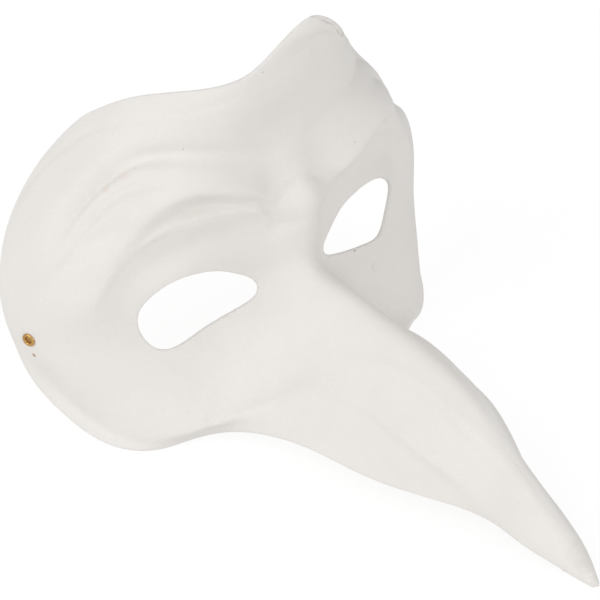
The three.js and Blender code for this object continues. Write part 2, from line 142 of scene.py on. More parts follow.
def soften(field_values: Array, rows: float, columns: float) -> Array:
    """Blurs a grid of values.

    Args:
        field_values: the grid, with rows and columns first.
        rows: blur down the rows, in cells.
        columns: blur along the columns, in cells.

    Returns:
        The blurred grid.
    """
    result = np.asarray(field_values, float)
    for axis, width in ((0, rows), (1, columns)):
        if width <= 0:
            continue
        reach = int(math.ceil(3 * width))
        weights = np.exp(-0.5 * (np.arange(-reach, reach + 1) / width) ** 2)
        weights /= weights.sum()
        padding = [(0, 0)] * result.ndim
        padding[axis] = (reach, reach)
        padded = np.pad(result, padding, mode="edge")
        size = result.shape[axis]
        result = sum(w * np.take(padded, range(i, i + size), axis=axis) for i, w in enumerate(weights))
    return result


# The form of the face


@dataclass(frozen=True)
class Station:
    """One curve of the face from the ridge line to the rim, in millimetres.

    ridge is [forward, up] of the middle line and rim [side, forward, up] of the edge. nose
    is the height and half width of the bump along the middle, pinch how far the front of
    the curve is drawn in and sweep how early it turns back.
    """

    name: str
    ridge: tuple[float, float]
    rim: tuple[float, float, float]
    nose: tuple[float, float]
    pinch: float
    sweep: float


STATIONS = (
    Station("above the peak", (4, 179), (36, -52, 142), (0, 14), 0.32, 1.5),
    Station("peak", (1, 161), (48, -62, 120), (0, 14), 0.27, 1.45),
    Station("upper forehead", (-4, 143), (60, -70, 103), (0, 14), 0.13, 1.35),
    Station("forehead", (-10, 124), (73, -74, 86), (0, 14), 0.05, 1.2),
    Station("furrow", (-13.5, 107), (83.5, -72, 71), (0, 12), 0, 1.05),
    Station("brow", (-4, 90), (91, -66.5, 57), (11, 10), -0.03, 1),
    Station("nose root", (-1.5, 73), (93.6, -60.5, 45), (11, 12), -0.1, 1),
    Station("eyes", (-0.5, 57), (92, -54, 31), (15.5, 12), -0.13, 1),
    Station("cheekbone", (17, 54), (87.6, -44, 16), (34, 16), -0.13, 1),
    Station("cheek", (32, 53.2), (78.2, -25, 3), (46, 20), 0, 1),
    Station("low cheek", (44, 52.4), (63, -10.5, 0.9), (48, 21.5), 0.08, 1.05),
    Station("beside the beak", (55, 51.2), (42.3, 1.5, 5), (36, 21), 0.16, 1.1),
    Station("beak", (68, 48.8), (31, 34, 9.5), (12, 18), 0.3, 1.3),
    Station("bend of the beak", (83, 44), (26, 66, 10.5), (0, 12), 0.36, 1.4),
    Station("corner of the beak rim", (100, 33.3), (13.5, 98, 10), (0, 10), 0.2, 1.3),
    Station("droop of the beak", (122, 20.2), (10, 118, 7.3), (0, 8), 0.1, 1.2),
    Station("end of the hollow", (138.4, 9.6), (6, 136, 3.5), (0, 5), 0, 1),
    Station("tip", (148, 1.5), (1.5, 147, -0.2), (0, 2), 0, 1),
)


@dataclass(frozen=True)
class Carving:
    """A roll, furrow or crease along a line of (share across, station, height in mm).

    above and below are how far it reaches on the two sides of its line. A sharpness of 2
    makes it round along the line, and one near 1 gives it an edge there.
    """

    name: str
    line: tuple[tuple[float, float, float], ...]
    above: float
    below: float
    side: Side = Side.BOTH
    sharpness: float = 2.0


BROAD_CARVINGS = (
    Carving(
        "roll of the peak",
        ((0, 1.2, 2.5), (0.12, 1.25, 2), (0.22, 1.7, 0.8), (0.3, 2.1, 0)),
        above=6, below=5,
    ),
    Carving(
        "roll of the right brow",
        (
            (0.05, 5.7, 0), (0.072, 5.1, 5.5), (0.12, 4.7, 9), (0.18, 4.46, 10), (0.26, 4.22, 9.5),
            (0.36, 4.14, 8.5), (0.46, 4.6, 5.2), (0.53, 5.35, 2.2), (0.58, 6.6, 0),
        ),
        above=8, below=5.8, side=Side.RIGHT,
    ),
    Carving(
        "roll of the left brow",
        (
            (0.05, 5.7, 0), (0.075, 5.2, 6.5), (0.12, 4.85, 11), (0.18, 4.65, 12.5), (0.26, 4.4, 12),
            (0.36, 4.3, 10), (0.46, 4.7, 5.5), (0.53, 5.4, 2.2), (0.58, 6.6, 0),
        ),
        above=9, below=5.2, side=Side.LEFT,
    ),
    Carving(
        "dip between the brows",
        ((0, 4.2, 0), (0, 4.5, -0.8), (0, 4.75, -0.8), (0, 5.0, 0)),
        above=5, below=5,
    ),
    Carving(
        "boss of the nose",
        ((0, 5.0, 1.2), (0, 5.4, 2.4), (0, 6.0, 1.4), (0, 6.6, 0)),
        above=5, below=5,
    ),
    Carving(
        "hollow of the eye",
        ((0.12, 6, 0), (0.2, 5.5, -1.5), (0.35, 5.45, -2.2), (0.46, 6.0, -2), (0.5, 6.9, 0)),
        above=6, below=6,
    ),
    Carving(
        "outer brow crest",
        ((0.45, 3.65, 0), (0.53, 3.75, 0.8), (0.63, 4.3, 1), (0.72, 5, 0)),
        above=4, below=4,
    ),
    Carving(
        "valley beside the brow",
        ((0.43, 4.45, 0), (0.55, 4.6, -1.1), (0.7, 4.75, -1.3), (0.78, 5.1, 0)),
        above=3, below=3,
    ),
    Carving(
        "temple swelling",
        ((0.5, 4.95, 0), (0.6, 4.95, 1), (0.7, 5.1, 2), (0.8, 6.1, 0)),
        above=6, below=6,
    ),
    Carving(
        "hollow of the beak's wing",
        ((0.6, 10.9, 0), (0.73, 12.1, -1), (0.85, 13.4, 0)),
        above=5, below=5,
    ),
    Carving(
        "hollow above the lip",
        (
            (0.94, 6.9, 0), (0.94, 7.5, -1.6), (0.94, 8.1, -2.8), (0.93, 8.8, -2.8), (0.92, 9.5, -1.8),
            (0.9, 10.4, 0),
        ),
        above=2, below=10,
    ),
    Carving(
        "lip of the lower rim",
        (
            (1, 6.6, 0), (1, 7.4, 1.2), (1, 8.4, 1.6), (1, 9.4, 1.4), (1, 10.4, 1.1), (1, 12, 0.9),
            (1, 14, 0),
        ),
        above=2.6, below=2.6,
    ),
)
FINE_CARVINGS = (
    Carving(
        "right furrow of the forehead",
        (
            (0, 4.2, -0.4), (0.1, 4.2, -1.2), (0.24, 3.82, -2.6), (0.38, 3.42, -3.4), (0.48, 3.2, -3.8),
            (0.54, 3.16, -4), (0.6, 3.34, -4), (0.65, 3.68, -3.6), (0.7, 4.15, -2.6), (0.75, 4.8, 0),
        ),
        above=4.2, below=2, side=Side.RIGHT,
    ),
    Carving(
        "left furrow of the forehead",
        (
            (0, 4.2, -0.4), (0.1, 4.12, -1.2), (0.29, 3.64, -2), (0.43, 3.25, -2), (0.55, 3.1, -1.6),
            (0.66, 3.6, 0),
        ),
        above=4, below=2.4, side=Side.LEFT, sharpness=1.4,
    ),
    Carving(
        "branch of the furrow",
        (
            (0.34, 3.85, 0), (0.43, 3.82, -1), (0.52, 3.84, -1.8), (0.58, 4.04, -2.2), (0.63, 4.3, -2.2),
            (0.68, 4.6, -1.6), (0.74, 5, 0),
        ),
        above=2.8, below=1.6,
    ),
    Carving(
        "undercut of the brow",
        (
            (0.06, 5.8, 0), (0.065, 5.5, -1), (0.085, 5.1, -1.6), (0.14, 4.72, -1.2), (0.21, 4.52, -0.7),
            (0.3, 4.4, 0),
        ),
        above=2.6, below=1.2, side=Side.RIGHT,
    ),
    Carving(
        "pad of the right lid",
        (
            (0.06, 5.6, 0), (0.1, 5.2, 3), (0.16, 4.96, 4.2), (0.24, 4.82, 4.4), (0.33, 4.78, 3.6),
            (0.4, 4.92, 2.4), (0.46, 5.4, 1), (0.5, 5.9, 0),
        ),
        above=2.6, below=9, side=Side.RIGHT,
    ),
    Carving(
        "pad of the left lid",
        ((0.07, 5.6, 0), (0.14, 5.02, 1.6), (0.26, 4.86, 1.8), (0.4, 4.95, 1), (0.5, 5.9, 0)),
        above=2.6, below=8, side=Side.LEFT,
    ),
    Carving(
        "edge of the socket",
        ((0.3, 4.98, 0), (0.4, 5.0, -0.9), (0.47, 5.32, -1.2), (0.53, 5.9, -0.9), (0.57, 6.3, 0)),
        above=1.3, below=5, sharpness=1.5,
    ),
    Carving(
        "groove around the boss",
        ((0, 4.86, -0.9), (0.035, 4.92, -0.9), (0.062, 5.2, -0.9), (0.072, 5.6, -0.6), (0.075, 6.2, 0)),
        above=1.6, below=1.6,
    ),
    Carving(
        "crease along the beak",
        (
            (0.2, 9.4, 0), (0.36, 10.6, 0.8), (0.47, 11.5, 1.3), (0.55, 12.6, 1.6), (0.67, 13.7, 1.4),
            (0.85, 14.1, 0.5),
        ),
        above=2.4, below=4, sharpness=1.6,
    ),
    Carving(
        "shoulder of the beak",
        (
            (0.14, 9.6, 0), (0.2, 11, 0.8), (0.24, 12, 1), (0.25, 13, 1), (0.24, 13.9, 0.9),
            (0.14, 15.7, 0),
        ),
        above=3, below=3,
    ),
    Carving(
        "line from cheek to nose",
        ((0.77, 10.64, 0.3), (0.52, 9.6, 0.3), (0.2, 8.3, 0)),
        above=1.6, below=1.6,
    ),
    Carving(
        "line inside the top edge",
        (
            (0.2, 2.3, 0), (0.3, 2.4, -0.2), (0.54, 2.2, -0.35), (0.78, 2.05, -0.35), (0.95, 2.9, -0.35),
            (0.95, 4.2, 0),
        ),
        above=2, below=1.2,
    ),
    Carving(
        "hollow below the peak's lip",
        (
            (-0.08, 2.1, 0), (-0.02, 1.75, -0.6), (0.04, 1.62, -1.6), (0.12, 1.66, -2.3),
            (0.25, 1.95, -1.7), (0.42, 2.5, 0),
        ),
        above=1.4, below=6, side=Side.LEFT, sharpness=1.5,
    ),
)

RIGHT_TOP_EDGE = (
    (0, 0.95), (0.08, 0.93), (0.135, 1.05), (0.184, 1.34), (0.236, 1.8), (0.3, 1.97), (0.43, 1.84),
    (0.59, 1.55), (0.76, 1.37), (0.87, 1.43), (0.95, 1.7), (1, 2.3),
)
LEFT_TOP_EDGE = (
    (0, 0.95), (0.06, 1.13), (0.125, 1.3), (0.23, 1.52), (0.33, 1.95), (0.42, 2.1), (0.6, 1.8),
    (0.78, 1.5), (0.88, 1.48), (0.95, 1.72), (1, 2.3),
)
EYE_MIDDLE = (0.27, 6.85)
RIGHT_EYE_OUTLINE = (
    (0.098, 7.14), (0.145, 6.6), (0.21, 6.27), (0.3, 6.11), (0.375, 6.24), (0.425, 6.6), (0.42, 7.25),
    (0.384, 7.76), (0.32, 7.84), (0.24, 7.7), (0.14, 7.53),
)
LEFT_EYE_OUTLINE = (
    (0.11, 7.1), (0.125, 6.7), (0.155, 6.26), (0.21, 6.02), (0.285, 5.95), (0.345, 6.08), (0.393, 6.45),
    (0.388, 7.02), (0.35, 7.56), (0.27, 7.62), (0.16, 7.43),
)


@dataclass(frozen=True)
class FacePlane:
    """A flat frame laid on the face: its origin, two directions along the face and one out of it."""

    origin: Array
    across: Array
    upward: Array
    outward: Array

    def flatten(self, points: Array) -> Array:
        """Flat (across, upward) measures of points."""
        offset = points - self.origin
        return np.stack([offset @ self.across, offset @ self.upward], axis=-1)

    def lift(self, measures: Array) -> Array:
        """Points from (across, upward, outward) measures."""
        return self.origin + measures @ np.stack([self.across, self.upward, self.outward])


@dataclass(frozen=True)
class FaceForm:
    """The carved face as a surface over a share across (-1 to 1) and a station.

    The top edge's shape fades out over the first top_fade stations. The shifts set the
    mask on the table, with the middle of its box over the origin. Each carving's line is
    followed by line_steps straight pieces.
    """

    stations: tuple[Station, ...] = STATIONS
    broad: tuple[Carving, ...] = BROAD_CARVINGS
    fine: tuple[Carving, ...] = FINE_CARVINGS
    right_top_edge: tuple[Spot, ...] = RIGHT_TOP_EDGE
    left_top_edge: tuple[Spot, ...] = LEFT_TOP_EDGE
    top_fade: float = 3.2
    depth_shift: float = 37.28
    height_shift: float = 0.2
    line_steps: int = 32

    @cached_property
    def curves(self) -> dict[str, Spline]:
        """The stations' measures as smooth curves over the station number."""
        rows = {
            "ridge forward": [s.ridge[0] for s in self.stations],
            "ridge up": [s.ridge[1] for s in self.stations],
            "rim side": [s.rim[0] for s in self.stations],
            "rim forward": [s.rim[1] for s in self.stations],
            "rim up": [s.rim[2] for s in self.stations],
            "nose height": [s.nose[0] for s in self.stations],
            "nose width": [s.nose[1] for s in self.stations],
            "pinch": [s.pinch for s in self.stations],
            "sweep": [s.sweep for s in self.stations],
        }
        return {name: Spline(range(len(values)), values) for name, values in rows.items()}

    @cached_property
    def top_edges(self) -> dict[Side, Spline]:
        """Station of the top edge over the share across, for both sides."""
        edges = {Side.RIGHT: self.right_top_edge, Side.LEFT: self.left_top_edge}
        return {side: Spline(*zip(*edge)) for side, edge in edges.items()}

    @property
    def top_station(self) -> float:
        """Station of the top edge on the ridge."""
        return self.left_top_edge[0][1]

    def middle_point(self, forward: Array, up: Array) -> Array:
        """Point of the middle plane.

        Args:
            forward: how far it lies forward.
            up: how high it lies.

        Returns:
            The point, in millimetres.
        """
        forward = np.asarray(forward, float)
        up = np.asarray(up, float)
        depth, height = self.depth_shift - forward, up + self.height_shift
        return np.stack([np.zeros_like(forward), depth, height], axis=-1)

    def smooth(self, across: Array, station: Array) -> Array:
        """Points of the form without its carving.

        Args:
            across: shares across, from -1 to 1.
            station: stations, of the same shape.

        Returns:
            The points, in millimetres.
        """
        at = {name: curve(station) for name, curve in self.curves.items()}
        ridge = self.middle_point(at["ridge forward"], at["ridge up"])
        rim_foot = self.middle_point(at["rim forward"], at["rim up"])
        inward = unit(rim_foot - ridge)
        core = ridge + inward * at["nose height"][..., None]
        angle = np.abs(across) * math.pi / 2
        cosine = np.maximum(np.cos(angle), 0)
        side = at["rim side"] * np.sin(angle) * (1 - at["pinch"] * cosine**2)
        turn = 1 - cosine ** at["sweep"]
        nose = at["nose height"] * np.exp(-((side / at["nose width"]) ** 2))
        point = core + (rim_foot - core) * turn[..., None] - inward * nose[..., None]
        point[..., 0] = side * np.sign(across)
        return point

    def smooth_normal(self, across: Array, station: Array) -> Array:
        """Outward normals of the form without its carving.

        Args:
            across: shares across, from 0 to 1.
            station: stations, of the same shape.

        Returns:
            The normals, of length 1.
        """
        share_step, station_step = 0.002, 0.02
        inner = np.maximum(across, 2 * share_step)
        outer = np.minimum(inner + share_step, 1)
        along = self.smooth(outer, station) - self.smooth(inner - share_step, station)
        lower = np.minimum(station + station_step, len(self.stations) - 1)
        down = self.smooth(across, lower) - self.smooth(across, station - station_step)
        return unit(np.cross(down, along))

    def relief(self, points: Array, normals: Array, across: Array, carvings: Sequence[Carving]) -> Array:
        """Height of carvings.

        Args:
            points: points of the smooth form on the wearer's left.
            normals: the normals there.
            across: the signed shares across, which tell the side.
            carvings: the carvings to add up.

        Returns:
            The height at each point, in millimetres.
        """
        flat_points = points.reshape(-1, 3)
        flat_normals = normals.reshape(-1, 3)
        is_right = across.ravel() < 0
        total = np.zeros(len(flat_points))
        for carving in carvings:
            mirror = np.ones((len(flat_points), 3))
            if carving.side is not Side.BOTH:
                mirror[:, 0] = np.where(is_right == (carving.side is Side.RIGHT), 1, -1)
            total += self.swelling(flat_points * mirror, flat_normals * mirror, carving)
        return total.reshape(across.shape)

    def swelling(self, points: Array, normals: Array, carving: Carving) -> Array:
        """Height of one carving at points near its line.

        Args:
            points: points of the smooth form, one row each, with the carving's side on +X.
            normals: the normals there.
            carving: the carving.

        Returns:
            The height at each point, in millimetres.
        """
        measures = [Spline(range(len(carving.line)), values) for values in zip(*carving.line)]
        steps = np.linspace(0, len(carving.line) - 1, self.line_steps + 1)
        across, station, height = (measure(steps) for measure in measures)
        lowest = 0 if carving.side is Side.BOTH else -1
        places = self.smooth(np.clip(across, lowest, 1), station)
        reach = 3 * max(carving.above, carving.below)
        near = np.all((points > places.min(axis=0) - reach) & (points < places.max(axis=0) + reach), axis=1)
        result = np.zeros(len(points))
        result[near] = line_swelling(points[near], normals[near], places, height, carving)
        return result

    def carved(self, across: Array, station: Array) -> Array:
        """Points of the carved face.

        Args:
            across: shares across, from -1 to 1.
            station: stations, of the same shape.

        Returns:
            The points, in millimetres.
        """
        across = np.asarray(across, float)
        station = np.asarray(station, float)
        half = np.abs(across)
        point = self.smooth(half, station)
        normal = self.smooth_normal(half, station)
        height = self.relief(point, normal, across, self.broad + self.fine)
        point = point + normal * height[..., None]
        point[..., 0] *= np.sign(across)
        return point

    def plane(self, across: float, station: float) -> FacePlane:
        """Flat frame on the carved face at one spot.

        Args:
            across: the share across of the spot.
            station: its station.

        Returns:
            The frame, with its first direction level.
        """
        aside, down = 0.02, 0.1
        shares = np.array([across, across + aside, across - aside, across, across])
        stations = np.array([station, station, station, station + down, station - down])
        origin, right, left, low, high = self.carved(shares, stations)
        outward = unit(np.cross(low - high, right - left))
        side = unit(np.cross([0.0, 0.0, 1.0], outward))
        return FacePlane(origin, side, np.cross(outward, side), outward)

    def row_station(self, level: Array, across: Array) -> Array:
        """Stations of the rows, of which the upper ones follow the top edge.

        Args:
            level: the levels of the rows, which are their stations on the ridge.
            across: the shares across, of the same shape.

        Returns:
            The station at each place.
        """
        fade = np.clip((level - self.top_station) / self.top_fade, 0, 1)
        fade = 1 - fade**2 * (3 - 2 * fade)
        half = np.abs(across)
        edge = np.where(across < 0, self.top_edges[Side.RIGHT](half), self.top_edges[Side.LEFT](half))
        return level + (edge - self.top_station) * fade


def line_swelling(points: Array, normals: Array, places: Array, heights: Array, carving: Carving) -> Array:
    """Swelling around a line, at points near it.

    Args:
        points: the points, one row each.
        normals: the normals there.
        places: the corners of the line.
        heights: the height of the swelling at each corner.
        carving: the carving, which tells how far and how roundly it reaches.

    Returns:
        The height of the swelling at each point.
    """
    nearest = np.full(len(points), np.inf)
    height = np.zeros(len(points))
    rise = np.zeros(len(points))
    for start, end, low, high in zip(places[:-1], places[1:], heights[:-1], heights[1:]):
        piece = end - start
        offset = points - start
        t = np.clip(offset @ piece / (piece @ piece), 0, 1)
        offset -= t[:, None] * piece
        distance = np.einsum("ij,ij->i", offset, offset)
        closer = distance < nearest
        upward = unit(np.cross(normals[closer], piece))
        nearest[closer] = distance[closer]
        height[closer] = (low + (high - low) * t)[closer]
        rise[closer] = np.einsum("ij,ij->i", upward, offset[closer])
    upper_share = 0.5 + 0.5 * np.tanh(2 * rise / min(carving.above, carving.below))
    reach = carving.below + (carving.above - carving.below) * upper_share
    return height * np.exp(-((np.sqrt(nearest) / reach) ** carving.sharpness))


# Meshes


def new_object(name: str, data: bpy.types.ID) -> bpy.types.Object:
    """Makes an object and puts it into the scene.

    Args:
        name: its name.
        data: its mesh, camera or light.

    Returns:
        The object.
    """
    made = bpy.data.objects.new(name, data)
    bpy.context.scene.collection.objects.link(made)
    return made


@dataclass
class MeshParts:
    """Corners and faces collected for one mesh, each face with the number of its finish."""

    corners: list[Array] = field(default_factory=list)
    faces: list[tuple[int, ...]] = field(default_factory=list)
    finishes: list[int] = field(default_factory=list)
    count: int = 0

    def add_corners(self, points: Array) -> Array:
        """Adds corners.

        Args:
            points: their places in millimetres, in a grid of any shape.

        Returns:
            The numbers of the corners, in a grid of the same shape.
        """
        flat = points.reshape(-1, 3)
        numbers = np.arange(self.count, self.count + len(flat)).reshape(points.shape[:-1])
        self.corners.append(flat)
        self.count += len(flat)
        return numbers

    def add_faces(self, faces: Array, finish: int) -> None:
        """Adds faces.

        Args:
            faces: rows of corner numbers.
            finish: the number of their finish.
        """
        rows = [tuple(row) for row in np.asarray(faces).tolist()]
        self.faces += rows
        self.finishes += [finish] * len(rows)

    def add_strip(self, first: Array, second: Array, finish: int) -> None:
        """Adds the faces between two rows of corners, facing out when second lies below first."""
        faces = np.stack([first[:-1], second[:-1], second[1:], first[1:]], axis=-1)
        self.add_faces(faces, finish)

    def build(self, name: str, materials: Sequence[bpy.types.Material], crease: float) -> bpy.types.Object:
        """Makes the object.

        Args:
            name: the name of the piece.
            materials: its finishes, in the order of their numbers.
            crease: angle in degrees above which an edge stays sharp.

        Returns:
            The new object, whose corners are in the mask's own frame.
        """
        points = np.concatenate(self.corners) * MM
        used = np.unique(np.concatenate([np.asarray(face) for face in self.faces]))
        renumber = np.full(self.count, -1)
        renumber[used] = np.arange(len(used))
        mesh = bpy.data.meshes.new(name)
        mesh.from_pydata(points[used].tolist(), [], [renumber[list(face)].tolist() for face in self.faces])
        for material in materials:
            mesh.materials.append(material)
        mesh.polygons.foreach_set("material_index", self.finishes)
        mesh.shade_smooth()
        mesh.set_sharp_from_angle(angle=math.radians(crease))
        mesh.validate()
        return new_object(name, mesh)


def corner_order(edges: Array) -> Array:
    """Corner numbers around a closed loop.

    Args:
        edges: the loop's edges as (from, to) rows, in any order.

    Returns:
        The corners in the order of the loop.
    """
    following = {int(a): int(b) for a, b in edges}
    loop = [int(edges[0][0])]
    while following[loop[-1]] != loop[0]:
        loop.append(following[loop[-1]])
    return np.array(loop)


def is_inside(points: Array, outline: Array) -> Array:
    """Tells which flat points lie inside a closed outline.

    Args:
        points: the points, with (x, y) last.
        outline: the corners of the outline, one row each.

    Returns:
        True or False for each point.
    """
    x, y = points[..., 0], points[..., 1]
    inside = np.zeros(x.shape, bool)
    for (x0, y0), (x1, y1) in zip(outline, np.roll(outline, -1, axis=0)):
        if y0 == y1:
            continue
        crosses = (y0 > y) != (y1 > y)
        inside ^= crosses & (x < x0 + (y - y0) * (x1 - x0) / (y1 - y0))
    return inside


# Node sheets


class NodeSheet:
    """A node tree with short ways to add and wire nodes."""

    def __init__(self, tree: bpy.types.NodeTree) -> None:
        """Takes the tree to work on."""
        self.tree = tree

    def add(self, kind: str, **settings: object) -> bpy.types.Node:
        """Adds a node.

        Args:
            kind: Blender's name of the node type.
            settings: properties of the node.

        Returns:
            The node.
        """
        node = self.tree.nodes.new(kind)
        for name, value in settings.items():
            setattr(node, name, value)
        return node

    def feed(self, socket: bpy.types.NodeSocket, value: object) -> None:
        """Wires a socket to another one, or sets its value.

        Args:
            socket: the input socket.
            value: an output socket, or the value.
        """
        if isinstance(value, bpy.types.NodeSocket):
            self.tree.links.new(value, socket)
        else:
            socket.default_value = value

    def operate(self, kind: str, operation: str, *values: object) -> bpy.types.Node:
        """Adds a node that works out one operation.

        Args:
            kind: Blender's name of the node type.
            operation: the node's operation.
            values: its inputs, sockets or numbers.

        Returns:
            The node.
        """
        node = self.add(kind, operation=operation)
        for socket, value in zip(node.inputs, values):
            self.feed(socket, value)
        return node

    def calculate(self, operation: str, *values: object) -> bpy.types.NodeSocket:
        """Result of a Math node."""
        return self.operate("ShaderNodeMath", operation, *values).outputs[0]

    def offset(self, operation: str, *values: object) -> bpy.types.Node:
        """A Vector Math node with its inputs fed."""
        return self.operate("ShaderNodeVectorMath", operation, *values)

    def remap(
        self, value: object, low: object, high: object, start: float = 0.0, end: float = 1.0
    ) -> bpy.types.NodeSocket:
        """Smooth step of a value.

        Args:
            value: the value that is read.
            low: where the step begins.
            high: where it ends.
            start: the result at low.
            end: the result at high.

        Returns:
            The output socket.
        """
        node = self.add("ShaderNodeMapRange", interpolation_type="SMOOTHSTEP")
        for name, number in (("Value", value), ("From Min", low), ("From Max", high)):
            self.feed(node.inputs[name], number)
        node.inputs["To Min"].default_value = start
        node.inputs["To Max"].default_value = end
        return node.outputs["Result"]

    def blend(self, share: object, first: object, second: object) -> bpy.types.NodeSocket:
        """Mix of two colours.

        Args:
            share: how much of the second colour shows.
            first: the first colour.
            second: the second colour.

        Returns:
            The output socket.
        """
        node = self.add("ShaderNodeMix", data_type="RGBA")
        for index, value in ((0, share), (6, first), (7, second)):
            self.feed(node.inputs[index], value)
        return node.outputs[2]

    def cloud(
        self, position: object, scale: object, detail: float, roughness: float
    ) -> bpy.types.NodeSocket:
        """Noise texture value.

        Args:
            position: where it is read.
            scale: features in a metre.
            detail: how many finer layers are added.
            roughness: how strong the finer layers are.

        Returns:
            The output socket.
        """
        node = self.add("ShaderNodeTexNoise")
        self.feed(node.inputs["Vector"], position)
        self.feed(node.inputs["Scale"], scale)
        node.inputs["Detail"].default_value = detail
        node.inputs["Roughness"].default_value = roughness
        return node.outputs["Fac"]

    def group(self, tree: bpy.types.NodeTree, **values: object) -> bpy.types.Node:
        """Places a node group.

        Args:
            tree: the group.
            values: its inputs, with an underscore for each space in a name.

        Returns:
            The group node.
        """
        node = self.add("ShaderNodeGroup", node_tree=tree)
        for name, value in values.items():
            self.feed(node.inputs[name.replace("_", " ").title()], value)
        return node

    def bumps(self, layers: Sequence[tuple[bpy.types.NodeSocket, float]]) -> bpy.types.NodeSocket:
        """Normal of bumps that lie on each other.

        Args:
            layers: the height socket of each bump and its depth in millimetres.

        Returns:
            The output socket.
        """
        normal = None
        for height, depth in layers:
            bump = self.add("ShaderNodeBump")
            bump.inputs["Distance"].default_value = depth * MM
            self.feed(bump.inputs["Height"], height)
            if normal is not None:
                self.feed(bump.inputs["Normal"], normal)
            normal = bump.outputs["Normal"]
        return normal

    def seen_or_given(self, seen: float, given: float) -> bpy.types.NodeSocket:
        """One brightness for what the camera sees straight on, another for the light given off."""
        is_seen = self.add("ShaderNodeLightPath").outputs["Is Camera Ray"]
        return self.calculate("MULTIPLY_ADD", is_seen, seen - given, given)

    def principled(self, colour: object, roughness: object) -> bpy.types.Node:
        """Adds a Principled shader that feeds the material's output.

        Args:
            colour: the base colour, a socket or a colour.
            roughness: the roughness, a socket or a number.

        Returns:
            The shader node.
        """
        shader = self.add("ShaderNodeBsdfPrincipled")
        self.feed(shader.inputs["Base Color"], colour)
        self.feed(shader.inputs["Roughness"], roughness)
        self.feed(self.add("ShaderNodeOutputMaterial").inputs["Surface"], shader.outputs["BSDF"])
        return shader


def new_material(name: str) -> tuple[bpy.types.Material, NodeSheet]:
    """Starts a material.

    Args:
        name: its name.

    Returns:
        The material and its empty sheet.
    """
    material = bpy.data.materials.new(name)
    material.use_nodes = True
    material.node_tree.nodes.clear()
    return material, NodeSheet(material.node_tree)


def new_group(
    name: str, inputs: Sequence[tuple[str, str, object]], outputs: Sequence[tuple[str, str]]
) -> tuple[NodeSheet, bpy.types.Node, bpy.types.Node]:
    """Starts a shader node group.

    Args:
        name: the name of the group.
        inputs: name, socket type and default of each input.
        outputs: name and socket type of each output.

    Returns:
        The sheet of the group, its input node and its output node.
    """
    tree = bpy.data.node_groups.new(name, "ShaderNodeTree")
    for label, kind, default in inputs:
        socket = tree.interface.new_socket(label, in_out="INPUT", socket_type=kind)
        if default is not None:
            socket.default_value = default
    for label, kind in outputs:
        tree.interface.new_socket(label, in_out="OUTPUT", socket_type=kind)
    sheet = NodeSheet(tree)
    return sheet, sheet.add("NodeGroupInput"), sheet.add("NodeGroupOutput")


